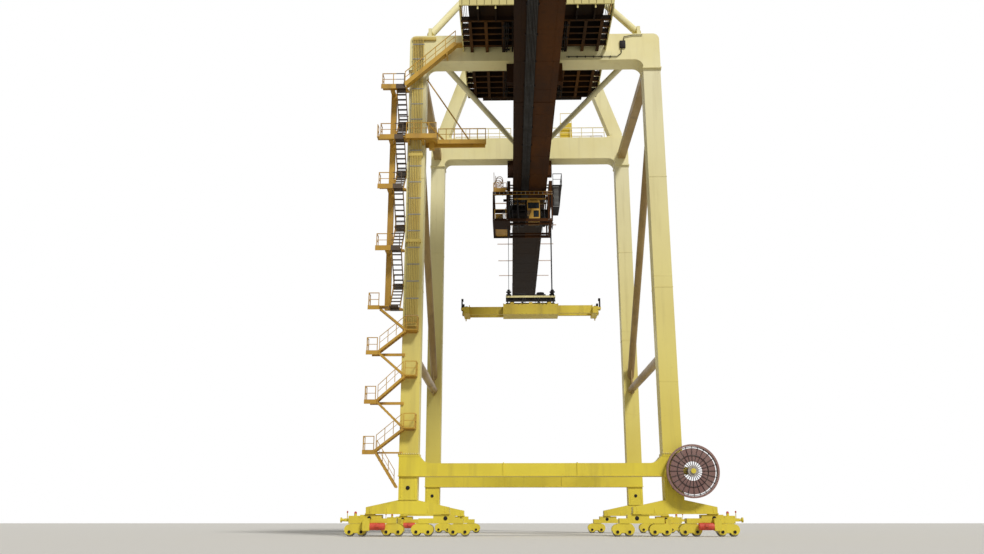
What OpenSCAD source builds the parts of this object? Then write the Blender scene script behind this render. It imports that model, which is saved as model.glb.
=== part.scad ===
// Quayside container crane on rail bogies, 1:10 scale model, millimetres.
// X runs along the rails, +Y points over the water, Z is up, z = 0 is the rail top.

/* [Main frame] */
// Half of the leg spacing along the rails
leg_x = 850; // [700:10:1000]
// Leg width along the rails
leg_w = 124; // [90:2:160]
// Leg depth across the rails
leg_d = 120; // [90:2:160]
// Landside leg plane
y_land = -2300; // [-2600:10:-2000]
// Waterside leg plane
y_water = -500; // [-700:10:-300]
// Underside of the sill beams
sill_z = 377; // [340:1:420]
// Height of the sill beams
sill_h = 77; // [60:1:110]
// Depth of the sill beams across the rails
sill_d = 128; // [90:2:160]
// Bolted flange at the foot of each leg
leg_foot = 506; // [470:1:560]
// Drop from the crossbeam to the bolted flange at each leg head
head_drop = 69; // [62:1:110]
// Underside of the portal crossbeams
beam_z = 3330; // [3300:1:3360]
// Height of the portal crossbeams
beam_h = 210; // [160:2:260]
// Depth of the portal crossbeams
beam_d = 150; // [110:2:190]
// Centre height of the side tie beams
tie_z = 1186; // [1100:2:1300]

/* [Girder and boom] */
// Half width of the girder box
gir_x = 110; // [90:2:150]
// Underside of the girder
gir_z = 3080; // [3050:2:3100]
// Rear end of the girder
back_y = -3900; // [-4000:10:-3700]
// Outer end of the boom
tip_y = 3900; // [3500:10:4000]
// Boom hinge position
hinge_y = 60; // [20:5:100]
// Rail centre beside the girder box
rail_x = 140; // [125:1:150]

/* [Upper frame] */
// Height of the stay pivot at the apex
apex_z = 5560; // [5300:10:5700]
// Half spacing of the pylon leg feet
pyl_x = 833; // [700:1:850]
// Thickness of the pylon legs
pyl_w = 112; // [80:2:140]
// Forestay anchor position on the boom
stay_y = 2900; // [2500:10:3300]
// Mid pivot distance from the apex pivot
stay_up = 1694; // [1500:1:2000]

/* [Trolley and spreader] */
// Trolley centre at rest
trol_y = -240; // [-260:5:-220]
// Trolley half length
trol_l = 255; // [200:5:280]
// Underside of the trolley frame
trol_z = 2750; // [2680:5:2790]
// Underside of the end beams
spr_z = 1905; // [1700:1:2000]
// Twistlock spacing across the spreader
lock_y = 113; // [100:1:120]
// Twistlock reach from the centre at rest
lock_x = 599; // [500:1:610]

/* [Running gear] */
// Travel wheel radius
wheel_r = 29; // [24:1:34]
// Cable reel centre from the crane centre
reel_x = 962; // [900:1:980]
// Cable reel centre height
reel_z = 400; // [360:1:440]
// Cable reel outer radius
reel_r = 167; // [150:1:200]

/* [Hidden] */
leg_head = beam_z - head_drop;
beam_t = beam_z + beam_h;
sill_t = sill_z + sill_h;
// Top of the girder
hz = beam_z;
// Boom hinge pin
pin_z = hz + 30;
col_top = [0.93, 0.89, 0.66];
col_yel = [0.89, 0.80, 0.28];
col_low = [0.88, 0.79, 0.22];
col_str = [0.91, 0.70, 0.24];
col_gir = [0.30, 0.21, 0.13];
col_boom = [0.45, 0.40, 0.33];
col_dark = [0.12, 0.12, 0.13];
col_grey = [0.62, 0.63, 0.62];
col_red = [0.85, 0.33, 0.22];
col_reel = [0.45, 0.27, 0.22];
col_glass = [0.20, 0.27, 0.33];
col_steel = [0.70, 0.71, 0.72];
col_house = [0.90, 0.83, 0.45];

// Box between two corners
module bx(x0, x1, y0, y1, z0, z1) {
    translate([x0, y0, z0])
        cube([x1 - x0, y1 - y0, z1 - z0]);
}

// The same thing on both sides of the crane centre line
module both() {
    children();
    mirror([1, 0, 0])
        children();
}

// Round bar between two points
module rod(a, b, r) {
    d = b - a;
    len = norm(d);
    translate(a)
        rotate([0, acos(d[2] / len), atan2(d[1], d[0])])
            cylinder(h = len, r = r, $fn = 20);
}

// Square bar between two points, w across and h deep
module bar(a, b, w, h) {
    d = b - a;
    len = norm(d);
    translate(a)
        rotate([0, acos(d[2] / len), atan2(d[1], d[0])])
            translate([-h / 2, -w / 2, 0])
                cube([h, w, len]);
}

// Handrail along a straight run with posts every so often
module fence(a, b, n = 3, h = 100, t = 6) {
    up = [0, 0, 1];
    bar(a + up * h, b + up * h, t, t);
    bar(a + up * h * 0.5, b + up * h * 0.5, t * 0.7, t * 0.7);
    for (i = [0 : n])
        translate(a + (b - a) * i / n)
            translate([-t / 2, -t / 2, 0])
                cube([t, t, h + t / 2]);
}

// Sill beam with haunches up to the leg flanges
module sill(y, front) {
    difference() {
        union() {
            bx(-leg_x - 62, leg_x + 62, y - sill_d / 2, y + sill_d / 2, sill_z, sill_t);
            both()
                bx(leg_x - 150, leg_x + 62, y - sill_d / 2, y + sill_d / 2, sill_t - 1, leg_foot - 9);
        }
        both()
            translate([leg_x - 150, y, sill_t + 88])
                rotate([90, 0, 0])
                    cylinder(h = sill_d + 20, r = 88, center = true, $fn = 48);
    }
    both()
        bx(leg_x - 68, leg_x + 68, y - 66, y + 66, leg_foot - 9, leg_foot);
    both()
        bx(234, 240, y - sill_d / 2 - 5, y + sill_d / 2 + 5, sill_z - 5, sill_t + 5);
    bx(-leg_x - 66, leg_x + 66, y - sill_d / 2 - 5, y + sill_d / 2 + 5, sill_z - 5, sill_z);
}

module sill_beam_land() {
    color(col_low)
        sill(y_land);
}

module sill_beam_water() {
    color(col_low)
        sill(y_water);
}

// Leg with flange plates and flange bolts
module leg(x, y) {
    bx(x - leg_w / 2, x + leg_w / 2, y - leg_d / 2, y + leg_d / 2, leg_foot, leg_head);
    bx(x - 68, x + 68, y - 66, y + 66, leg_foot, leg_foot + 8);
    bx(x - 68, x + 68, y - 66, y + 66, leg_head - 8, leg_head);
    for (z = [1620, 2420])
        bx(x - leg_w / 2 - 2, x + leg_w / 2 + 2, y - leg_d / 2 - 2, y + leg_d / 2 + 2, z, z + 5);
}

module leg_land_left() {
    color(col_yel)
        leg(-leg_x, y_land);
}

module leg_land_right() {
    color(col_yel)
        leg(leg_x, y_land);
}

module leg_water_left() {
    color(col_yel)
        leg(-leg_x, y_water);
}

module leg_water_right() {
    color(col_yel)
        leg(leg_x, y_water);
}

// Portal crossbeam with knees at both ends
module crossbeam(y) {
    xo = leg_x + leg_w / 2;
    difference() {
        union() {
            bx(-xo + 45, xo - 45, y - beam_d / 2, y + beam_d / 2, beam_z, beam_t);
            both()
                bx(leg_x - leg_w / 2, xo, y - beam_d / 2, y + beam_d / 2, leg_head + 8, beam_t - 45);
            both()
                translate([xo - 45, y, beam_t - 45])
                    rotate([90, 0, 0])
                        cylinder(h = beam_d, r = 45, center = true, $fn = 48);
            both()
                bx(leg_x - leg_w / 2 - 61, leg_x - leg_w / 2, y - beam_d / 2, y + beam_d / 2,
                    beam_z - 61, beam_z);
        }
        both()
            translate([leg_x - leg_w / 2 - 61, y, beam_z - 61])
                rotate([90, 0, 0])
                    cylinder(h = beam_d + 20, r = 61, center = true, $fn = 48);
    }
    both()
        bx(leg_x - 68, leg_x + 68, y - 77, y + 77, leg_head, leg_head + 8);
}

module crossbeam_land() {
    color(col_top)
        crossbeam(y_land);
}

module crossbeam_water() {
    color(col_top)
        crossbeam(y_water);
}

// Tie beam, upper beam and diagonal of one side
module side_frame(x) {
    y0 = y_land + leg_d / 2;
    y1 = y_water - leg_d / 2;
    rod([x, y0, tie_z], [x, y1, tie_z], 31);
    bx(x - 33, x + 33, y0 + 15, y1 - 15, 3325, 3390);
    difference() {
        rod([x, y0 - 70, 3072], [x, y1 + 70, 1240], 28);
        bx(x - 90, x + 90, y0 - 300, y0, 2800, 3300);
        bx(x - 90, x + 90, y1, y1 + 300, 1000, 1500);
    }
    bx(x - 5, x + 5, y1 - 150, y1, tie_z - 46, tie_z + 40);
    bx(x - 5, x + 5, y1 - 70, y1, tie_z + 40, tie_z + 210);
    bx(x - 5, x + 5, y0, y0 + 120, tie_z - 44, tie_z + 44);
    bx(x - 5, x + 5, y0, y0 + 60, 2860, 3050);
}

module side_frame_left() {
    color(col_top)
        side_frame(-leg_x);
}

module side_frame_right() {
    color(col_top)
        side_frame(leg_x);
}

module plan_braces() {
    color(col_yel)
        both()
            difference() {
                rod([665, y_land + 34, 3356], [20, y_water - 46, 3362], 22);
                bx(500, 800, y_land - 80, y_land + beam_d / 2 + 0.3, 3300, 3400);
                bx(-100, 200, y_water - beam_d / 2 - 0.3, y_water + 80, 3300, 3400);
            }
}

// Pylon leg from the waterside crossbeam to the apex
module pylon() {
    difference() {
        bar([pyl_x - 20, y_water, beam_t + 22], [108, y_water, apex_z + 40], 116, pyl_w);
        bx(-200, 200, y_water - 70, y_water + 70, apex_z - 60.3, apex_z + 160);
    }
    bx(pyl_x - 110, pyl_x + 70, y_water - 70, y_water + 70, beam_t, beam_t + 14);
    bx(pyl_x - 68, pyl_x + 28, y_water - 63, y_water + 63, beam_t + 14, beam_t + 43);
}

module pylon_left() {
    color(col_top)
        mirror([1, 0, 0])
            pylon();
}

module pylon_right() {
    color(col_top)
        pylon();
}

// Apex beam with stay lugs, backstay lugs and head sheaves
module apex_beam() {
    color(col_top) {
        bx(-150, 150, y_water - 62, y_water + 62, apex_z - 60, apex_z + 100);
        both()
            for (x = [92, 146])
                bx(x, x + 12, y_water + 60, y_water + 132, apex_z - 34, apex_z + 34);
        both()
            translate([86, y_water + 100, apex_z])
                rotate([0, 90, 0])
                    cylinder(h = 78, r = 12, $fn = 32);
        both()
            bx(152, 168, y_water - 118, y_water + 20, apex_z - 60, apex_z + 30);
        both()
            bx(148, 152, y_water - 50, y_water + 20, apex_z - 50, apex_z + 30);
        bx(-170, 170, y_water - 90, y_water + 90, apex_z + 100, apex_z + 110);
        both()
            for (y = [-45, 45])
                bx(38, 48, y_water + y - 22, y_water + y + 22, apex_z + 110, apex_z + 170);
        for (y = [-45, 45])
            translate([-60, y_water + y, apex_z + 155])
                rotate([0, 90, 0])
                    cylinder(h = 120, r = 32, $fn = 40);
        fence([-166, y_water - 86, apex_z + 110], [166, y_water - 86, apex_z + 110], 4, 90, 5);
    }
}

// Backstay pipe from the landside crossbeam to the apex
module backstay() {
    difference() {
        rod([770, y_land, beam_t + 50], [162, y_water - 98, apex_z - 14], 27);
        bx(151.7, 168.3, y_water - 150, y_water + 40, apex_z - 80, apex_z + 60);
    }
    bx(758, 782, y_land - 50, y_land + 60, beam_t, beam_t + 78);
    bx(738, 802, y_land - 60, y_land + 70, beam_t, beam_t + 10);
}

module backstay_left() {
    color(col_top)
        mirror([1, 0, 0])
            backstay();
}

module backstay_right() {
    color(col_top) {
        backstay();
        for (k = [0.3, 0.62]) {
            p = [770, y_land, beam_t + 50] + k * [-608, 1702, 1956];
            translate(p) {
                bx(24, 90, -40, 60, -4, 2);
                bx(-4, 26, -4, 10, -20, 2);
                fence([88, -38, 2], [88, 58, 2], 2, 80, 5);
            }
        }
    }
}

// Girder box with a bottom flange that carries the trolley rails
module box_girder(y0, y1) {
    bx(-gir_x, gir_x, y0, y1, gir_z + 8, hz);
    bx(-gir_x - 46, gir_x + 46, y0, y1, gir_z, gir_z + 10);
}

module land_girder() {
    color(col_gir) {
        box_girder(back_y + 10, hinge_y - 8);
        for (y = [-3500, -2860, -1740, -1100])
            bx(-gir_x - 4, gir_x + 4, y, y + 8, gir_z + 10, hz);
        bx(-gir_x - 46, -84.5, y_land + 96, y_land + 102, gir_z - 3, gir_z);
        bx(-1.5, gir_x + 46, y_land + 96, y_land + 102, gir_z - 3, gir_z);
        bx(-gir_x - 46, gir_x + 46, back_y, back_y + 10, gir_z, hz);
        both()
            difference() {
                union() {
                    bx(60, 84, hinge_y - 90, hinge_y, hz, pin_z + 12);
                    translate([60, hinge_y, pin_z])
                        rotate([0, 90, 0])
                            cylinder(h = 24, r = 24, $fn = 48);
                }
                translate([50, hinge_y, pin_z])
                    rotate([0, 90, 0])
                        cylinder(h = 40, r = 10.05, $fn = 32);
            }
        both()
            for (y = [y_land, y_water])
                bx(gir_x, 205, y - 30, y + 30, gir_z + 102, hz - 0.3);
    }
}

module girder_rails() {
    color(col_steel)
        both()
            bx(rail_x - 5, rail_x + 5, back_y + 31, hinge_y - 8, gir_z + 10, gir_z + 20);
    color(col_red)
        both()
            bx(rail_x - 12, rail_x + 12, back_y + 10, back_y + 31, gir_z + 10, gir_z + 70);
}

module cable_trough() {
    color(col_dark) {
        bx(-78, -8, back_y + 20, hinge_y - 20, gir_z - 12, gir_z);
        for (y = [back_y + 60 : 340 : hinge_y - 60])
            bx(-84, -2, y, y + 8, gir_z - 14, gir_z);
    }
}

// Machinery platform in two bays either side of the landside crossbeam
module machinery_platform() {
    color(col_dark) {
        for (x = [-460, -350, -230, 220, 340, 450])
            bx(x, x + 10, y_land - 486, y_land - 75.3, 3400, 3440);
        for (x = [-460, -350, -230, 220, 340, 450])
            bx(x, x + 10, y_land + 75.3, y_land + 650, 3400, 3440);
        for (y = [-486, -400, -320, -240, -160, 110, 200, 290, 380, 470, 560, 640])
            bx(-518, 518, y_land + y, y_land + y + 8, 3405, 3440);
        both()
            bx(156, 166, y_land - 486, y_land - 75.3, 3400, 3440);
    }
    color(col_grey) {
        bx(-460, 460, y_land - 486, y_land - 77, 3440, 3446);
        bx(-460, 460, y_land + 77, y_land + 693, 3440, 3446);
        bx(-460, 460, y_land - 640, y_land - 486, 3436, 3442);
        bx(-400, 400, y_land + 640, y_land + 693, 3400, 3440);
        both()
            for (x = [472, 484, 496, 508]) {
                bx(x, x + 3, y_land - 640, y_land - 77, 3436, 3443);
                bx(x, x + 3, y_land + 77, y_land + 648, 3436, 3443);
            }
    }
    color(col_yel) {
        bx(-520, 520, y_land - 650, y_land - 640, 3425, 3488);
        both()
            bx(514, 521, y_land - 640, y_land - 77, 3404, 3450);
        both()
            bx(514, 521, y_land + 77, y_land + 648, 3404, 3450);
    }
    color(col_dark)
        for (x = [-400, -280, -100, 90, 270, 390])
            bx(x, x + 10, y_land - 640, y_land - 486, 3400, 3440);
}

module platform_railings() {
    color(col_yel) {
        both()
            fence([517, y_land - 630, 3450], [517, y_land - 82, 3450], 4);
        both()
            fence([517, y_land + 82, 3450], [517, y_land + 636, 3450], 4);
        fence([-514, y_land - 645, 3488], [514, y_land - 645, 3488], 8, 80);
        fence([-396, y_land + 688, 3446], [396, y_land + 688, 3446], 6);
        both()
            fence([508, y_land + 643, 3448], [408, y_land + 688, 3446], 1);
    }
}

module house_walls() {
    color(col_house) {
        bx(-400, 400, y_land - 430, y_land + 600, 3560, 4010);
        for (x = [-400, -240, -80, 80, 240, 392])
            bx(x, x + 8, y_land - 434, y_land + 604, 3560, 4010);
    }
    color(col_dark) {
        for (x = [-380, -130, 120, 370])
            bx(x - 12, x + 12, y_land - 420, y_land - 80, 3446, 3560);
        for (x = [-380, -130, 120, 370])
            bx(x - 12, x + 12, y_land + 80, y_land + 590, 3446, 3560);
        bx(-400, 400, y_land - 74, y_land + 74, beam_t, 3560);
    }
}

module house_roof() {
    color(col_grey) {
        bx(-425, 425, y_land - 455, y_land + 625, 4010, 4026);
        for (y = [-300, 0, 300])
            bx(-250, 250, y_land + y - 40, y_land + y + 40, 4026, 4060);
    }
}

module house_fittings() {
    color(col_grey) {
        for (y = [-300, -100, 300])
            both()
                bx(400, 408, y_land + y, y_land + y + 120, 3800, 3900);
        bx(400, 412, y_land + 120, y_land + 200, 3570, 3780);
        for (x = [-180, 100])
            bx(x, x + 80, y_land - 444, y_land - 430, 3800, 3880);
    }
}

// Straight stair flight with two stringers and treads, w wide along the axis across
module flight(a, b, side, n = 8) {
    bar(a + side, b + side, 6, 14);
    bar(a - side, b - side, 6, 14);
    for (i = [1 : n - 1]) {
        p = a + (b - a) * i / n;
        s = side / norm(side);
        w = norm(side);
        if (abs(s[0]) > 0.5)
            translate(p)
                bx(-w, w, -10, 10, -2, 2);
        else
            translate(p)
                bx(-10, 10, -w, w, -2, 2);
    }
}

// Zigzag stair in front of the near landside leg
module lower_stair() {
    yc = y_land - 102;
    yf = y_land - leg_d / 2 - 0.3;
    color(col_str) {
        for (z = [529, 851, 1174, 1479])
            bx(-1137, -1059, yc - 38, yc + 38, z - 5, z);
        for (z = [675, 1016, 1321])
            bx(-882, -803, yc - 38, yc + 38, z - 5, z);
        flight([-1064, yc, 526.6], [-877, yc, 671.3], [0, 30, 0]);
        flight([-884, yc, 673.2], [-1065, yc, 847.6], [0, 28.6, 0]);
        flight([-1060.4, yc, 848.9], [-877, yc, 1012.4], [0, 30, 0]);
        flight([-884, yc, 1014.1], [-1065, yc, 1170.7], [0, 28.6, 0]);
        flight([-1060.4, yc, 1171.8], [-877, yc, 1317.5], [0, 30, 0]);
        flight([-884, yc, 1319.2], [-1065, yc, 1469.6], [0, 28.6, 0]);
        flight([-1060.6, yc, 523.7], [-918, yc, 300], [0, 28.4, 0]);
        for (z = [675, 1016, 1321])
            bx(-870, -815, yc + 34, yf, z - 14, z - 4);
        for (z = [529, 851, 1174]) {
            bx(-1110, -890, yc + 31, yc + 39, max(z - 22, leg_foot + 8.6), z - 4);
            bx(-904, -890, yc + 31, yf, max(z - 22, leg_foot + 8.6), z - 4);
        }
        for (z = [529, 851, 1174, 1479]) {
            bx(-1139, -1059.2, yc - 41, yc - 37, z - 24, z + 4);
            fence([-1132, yc - 35, z], [-1066, yc - 35, z], 1, 90, 5);
            fence([-1134, yc - 34, z], [-1134, yc + 34, z], 1, 90, 5);
        }
        for (r = [[529, 675], [851, 1016], [1174, 1321]])
            fence([-1051.6, yc - 30.7, r[0] + 14.8], [-890, yc - 30.7, r[1] + 3.7], 3, 83.7, 4);
        fence([-1046, yc - 30, 510], [-930, yc - 30, 324], 3, 84, 4);
        for (z = [675, 1016, 1321]) {
            fence([-878, yc - 35, z], [-806, yc - 35, z], 1, 90, 5);
            fence([-806, yc - 35, z], [-806, yc + 35, z], 1, 90, 5);
        }
    }
}

// Stair along the outer side of the near landside leg, and the flight to the deck
module upper_stair() {
    zs = [1479, 1894, 2342, 2714, 3105];
    ys = y_land - 128;
    yf = y_land - 150;
    color(col_str) {
        bx(-1058.7, -935, yf, y_land - 75, 1474, 1479);
        bx(-1000, -912.3, y_land - 91.7, y_land - 50, 1464, 1475);
        bx(-1044, -1006, y_land - 20, y_land + 18, 1482, 3100);
        for (i = [1 : 4]) {
            bx(-1098, -935, yf, y_land - 75, zs[i] - 5, zs[i]);
            bx(-1102, -933, yf - 4, yf, zs[i] - 30, zs[i] + 5);
            bx(-1000, -912.3, y_land - 91.7, y_land - 50, zs[i] - 15, zs[i] - 4);
            bx(-1042, -1012, y_land - 100, y_land, zs[i] - 20, zs[i] - 4);
            fence([-1094, yf + 4, zs[i]], [-1094, y_land - 80, zs[i]], 1, 90, 5);
            fence([-1094, yf + 4, zs[i]], [-938, yf + 4, zs[i]], 2, 90, 5);
        }
        for (i = [0 : 3]) {
            zm = (zs[i] + zs[i + 1]) / 2;
            flight([-966, y_land - 78.3, zs[i] - 2.2], [-966, y_land + 94.7, zm - 3.4], [34, 0, 0], 7);
            flight([-966, y_land + 93.1, zm - 2.2], [-966, y_land - 80.4, zs[i + 1] - 3.4], [32.4, 0, 0], 7);
            bx(-1010, -922, y_land + 90, y_land + 152, zm - 5, zm);
            bx(-1010, -922, y_land + 152, y_land + 156, zm - 20, zm + 5);
            bx(-1000, -912.3, y_land + 44, y_land + 110, zm - 15, zm - 4);
            fence([-1006, y_land + 148, zm], [-926, y_land + 148, zm], 1, 90, 5);
        }
        bx(-1119, -916, yf, y_land - 92, 2700, 2706);
        fence([-1116, yf + 4, 2706], [-1116, y_land - 95, 2706], 1, 90, 5);
        bx(-936, -930, ys - 34, ys + 34, 3099, 3105);
        flight([-933.2, ys, 3103.6], [-571, ys, 3432], [0, 33.2, 0], 14);
        bar([-925, ys, 3098], [-577, ys, 3414], 64, 3);
        bar([-933.2, ys - 34.5, 3100], [-574, ys - 34.5, 3426], 4, 30);
        bx(-640, -630, ys - 34, y_land - beam_d / 2 - 0.3, 3335, 3364);
        bx(-578, -521.3, ys - 30, ys + 30, 3424, 3434);
        fence([-930, ys - 34, 3112], [-574, ys - 34, 3436], 5, 90, 5);
    }
}

// Gallery across the front of the near landside leg
module leg_gallery() {
    y0 = y_land - 150;
    y1 = y_land - 92;
    yr = y_land - 60;
    color(col_str) {
        bx(-915.7, -700, y0, y1, 2700, 2706);
        bx(-915.7, -698, y0 - 5, y0 + 1.4, 2688, 2722);
        bx(-786, -700, y1 - 2, yr + 2, 2700.6, 2706);
        bx(-787.7, -354, yr, y_land - 2, 2700.3, 2706.3);
        bx(-698.3, -352, yr - 5, yr + 1.4, 2684, 2714);
        bx(-787.7, -360, y_land - 14, y_land - 2.6, 2676, 2701);
        for (x = [-906, -804])
            bx(x, x + 14, y0 + 10, y_land - leg_d / 2 - 0.3, 2672, 2700.4);
        fence([-912, y0 - 2, 2722], [-702, y0 - 2, 2722], 4, 84, 5);
        fence([-694, yr - 2, 2714], [-357, yr - 2, 2714], 6, 84, 5);
        fence([-357.6, yr + 8, 2705], [-357.6, y_land - 8, 2705], 1, 98, 5);
    }
    color(col_dark)
        bx(-760, -722, yr + 6, y_land - 16, 2650, 2700.5);
    color(col_top) {
        rod([-783.4, y_land - 30, 3204], [-462, y_land - 30, 2704], 5);
        bar([-783, y_land - 36, 2862], [-640, y_land - 36, 2703.2], 11, 12);
    }
}

// Conduits up the front of the near landside leg
module leg_conduits() {
    yc = y_land - 80;
    color(col_top) {
        for (i = [0 : 6])
            bx(-886 + i * 11.8, -880 + i * 11.8, yc - 8, yc, 1350, 3500);
        bx(-892, -720, yc - 10, y_land - beam_d / 2 - 0.3, 3500, 3520);
        bx(-888, -809, yc - 8, y_land - leg_d / 2 - 0.3, 1350, 1362);
    }
    color(col_yel)
        for (z = [1943, 2581])
            bx(-900, -800, yc - 10, y_land - leg_d / 2 - 0.3, z, z + 22);
}

// Walkway on top of the waterside crossbeam
module water_walkway() {
    color(col_yel) {
        both()
            bx(170, 700, y_water + 75.3, y_water + 124, beam_t - 6, beam_t);
        both()
            fence([172, y_water + 116, beam_t], [698, y_water + 116, beam_t], 5);
        both()
            fence([172, y_water - 68, beam_t], [698, y_water - 68, beam_t], 5);
    }
    color(col_str) {
        bx(290, 400, y_water - 50, y_water + 30, beam_t, beam_t + 160);
        for (x = [292, 394])
            bx(x, x + 4, y_water - 48, y_water - 44, beam_t + 160, beam_t + 260);
        bx(292, 398, y_water - 48, y_water - 44, beam_t + 256, beam_t + 260);
    }
}

// Pedestal and tapered main equalizer with two sub equalizers at one corner
module equalizer(x, y) {
    translate([x, y, 0]) {
        bx(-60, 60, -55, 55, 226, sill_z - 5);
        difference() {
            bx(-266, 266, -48, 48, 144, 236);
            both()
                translate([266, 0, 181])
                    rotate([0, 12, 0])
                        translate([-250, -60, 0])
                            cube([300, 120, 80]);
        }
        bx(-270, 270, -52, 52, 138, 144);
        both() {
            bx(70, 302, -40, 40, 80.3, 112);
            bx(165, 302, -40, 40, 80.3, 134);
            bx(214, 272, -39, 39, 100, 144);
        }
        bx(-354, -300, -40, 40, 80.3, 112);
    }
}

module equalizers_land() {
    color(col_low)
        both()
            equalizer(leg_x, y_land);
}

module equalizers_water() {
    color(col_low)
        both()
            equalizer(leg_x, y_water);
}

// Wheel bogie frame, two side plates joined by a cross member
module bogie(x, y) {
    translate([x, y, 0]) {
        for (s = [-1, 1]) {
            bx(-38, 38, s * 30 - 6, s * 30 + 6, 24, 80);
            for (w = [-38, 38])
                translate([w, s * 30, 43])
                    rotate([90, 0, 0])
                        cylinder(h = 12, r = 33, center = true, $fn = 48);
        }
        bx(-22, 22, -36, 36, 66, 80);
        for (w = [-38, 38])
            for (s = [-1, 1])
                bx(w - 10, w + 10, s * 36 - 4, s * 36 + 4, 19, 39);
        bx(-8, 8, -30, 30, 20, 66);
    }
}

module bogies_at(y) {
    both()
        for (s = [-1, 1])
            for (k = [95, 330])
                bogie(leg_x + s * k, y);
}

module bogies_land() {
    color(col_low)
        bogies_at(y_land);
}

module bogies_water() {
    color(col_low)
        bogies_at(y_water);
}

module wheels_at(y) {
    both()
        for (s = [-1, 1])
            for (k = [95, 330])
                for (w = [-38, 38])
                    translate([leg_x + s * k + w, y, wheel_r])
                        rotate([90, 0, 0]) {
                            cylinder(h = 34, r = wheel_r, center = true, $fn = 40);
                            cylinder(h = 47.4, r = 9, center = true, $fn = 24);
                        }
}

module travel_wheels_land() {
    color(col_steel)
        wheels_at(y_land);
}

module travel_wheels_water() {
    color(col_steel)
        wheels_at(y_water);
}

// Gear motors slung beside the sub equalizers
module travel_motors() {
    for (y = [y_land, y_water])
        both() {
            color(col_red)
                translate([leg_x + 145, y - 62.3, 62])
                    rotate([0, 90, 0])
                        cylinder(h = 90, r = 22, $fn = 40);
            color(col_low)
                bx(leg_x + 234, leg_x + 279, y - 84, y - 40.3, 36, 112);
        }
}

module buffer_arms() {
    for (y = [y_land, y_water])
        color(col_low)
            both() {
                bx(leg_x + 302.3, leg_x + 376, y - 38, y + 38, 80.3, 128);
                bx(leg_x + 376, leg_x + 406, y - 10, y + 10, 92, 112);
            }
    color(col_red)
        for (y = [y_land, y_water])
            both()
                translate([leg_x + 338, y, 128])
                    cylinder(h = 14, r = 9, $fn = 24);
    color(col_steel)
        for (y = [y_land, y_water])
            both() {
                translate([leg_x + 406, y, 102])
                    rotate([0, 90, 0])
                        cylinder(h = 19, r = 9, $fn = 24);
                translate([leg_x + 425, y, 102])
                    rotate([0, 90, 0])
                        cylinder(h = 8, r = 16, $fn = 32);
                translate([leg_x + 390, y, 112])
                    cylinder(h = 34, r = 2.5, $fn = 16);
            }
}

// Bracket that carries the reel from the near right leg
module reel_bracket() {
    color(col_low)
        bx(860, reel_x + 26, y_land - 82, y_land - 64.3, reel_z - 20, reel_z + 26);
    color(col_low)
        translate([reel_x, y_land - 82, reel_z])
            rotate([90, 0, 0])
                cylinder(h = 9, r = 24, $fn = 48);
    color(col_low)
        translate([reel_x, y_land - 80, reel_z])
            rotate([90, 0, 0])
                cylinder(h = 58, r = 10, $fn = 32);
    color(col_low)
        translate([reel_x, y_land - 134, reel_z])
            rotate([90, 0, 0])
                cylinder(h = 4, r = 16, $fn = 32);
}

// Mono spiral reel with spokes on both sides
module cable_reel() {
    yf = y_land - 150;
    color(col_reel) {
        difference() {
            translate([reel_x, yf + 50, reel_z])
                rotate([90, 0, 0])
                    cylinder(h = 24, r = reel_r, $fn = 96);
            translate([reel_x, yf + 60, reel_z])
                rotate([90, 0, 0])
                    cylinder(h = 50, r = reel_r - 12, $fn = 96);
        }
        difference() {
            translate([reel_x, yf + 54, reel_z])
                rotate([90, 0, 0])
                    cylinder(h = 32, r = 34, $fn = 48);
            translate([reel_x, yf + 60, reel_z])
                rotate([90, 0, 0])
                    cylinder(h = 50, r = 10.05, $fn = 32);
        }
        difference() {
            translate([reel_x, yf + 48.3, reel_z])
                rotate([90, 0, 0])
                    cylinder(h = 9, r = reel_r - 24, $fn = 96);
            translate([reel_x, yf + 60, reel_z])
                rotate([90, 0, 0])
                    cylinder(h = 50, r = 60, $fn = 64);
        }
        for (i = [0 : 23])
            translate([reel_x, yf + 38, reel_z])
                rotate([0, i * 15, 0])
                    translate([30, -2, -2])
                        cube([reel_r - 38, 4, 4]);
    }
}

// Boom with hinge lugs, end plate, stay lugs and rails
module boom_box() {
    color(col_boom) {
        bx(-gir_x, gir_x, hinge_y + 8, tip_y - 10.3, gir_z + 10.3, hz - 6);
        bx(-gir_x - 46, gir_x + 46, hinge_y + 8, tip_y - 10.3, gir_z, gir_z + 10);
        bx(-gir_x - 46, gir_x + 46, tip_y - 10, tip_y, gir_z, hz + 20);
        for (y = [700, 1400, 2100, 2800, 3400])
            bx(-gir_x - 4, gir_x + 4, y, y + 8, gir_z + 10.3, hz - 6);
        both() {
            translate([86, hinge_y, pin_z])
                rotate([0, 90, 0])
                    cylinder(h = 22, r = 24, $fn = 48);
            bx(86, 108, hinge_y, hinge_y + 80, hz + 6, pin_z + 24);
            bx(86, 108, hinge_y + 8, hinge_y + 80, hz - 10, hz + 6);
            for (x = [58, 106])
                bx(x, x + 12, stay_y - 60, stay_y + 40, hz - 10, hz + 92);
        }
    }
    color(col_steel)
        both() {
            translate([54, stay_y, hz + 70])
                rotate([0, 90, 0])
                    cylinder(h = 68, r = 12, $fn = 32);
            bx(rail_x - 5, rail_x + 5, hinge_y + 8, tip_y - 10.3, gir_z + 10.3, gir_z + 20);
            translate([56, hinge_y, pin_z])
                rotate([0, 90, 0])
                    cylinder(h = 56, r = 10, $fn = 32);
        }
}

module boom_walkways() {
    color(col_top) {
        both()
            for (y = [540, 1240, 1940, 2640, 3340])
                bx(gir_x + 0.3, 335, y, y + 12, 3304, 3312);
        both()
            bx(gir_x + 4.3, gir_x + 44, hinge_y + 90, tip_y - 60, 3312, 3318);
    }
}

module boom_railings() {
    color(col_yel)
        both()
            fence([gir_x + 41, hinge_y + 93, 3318.3], [gir_x + 41, tip_y - 63, 3318.3], 22, 90, 5);
}

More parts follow.
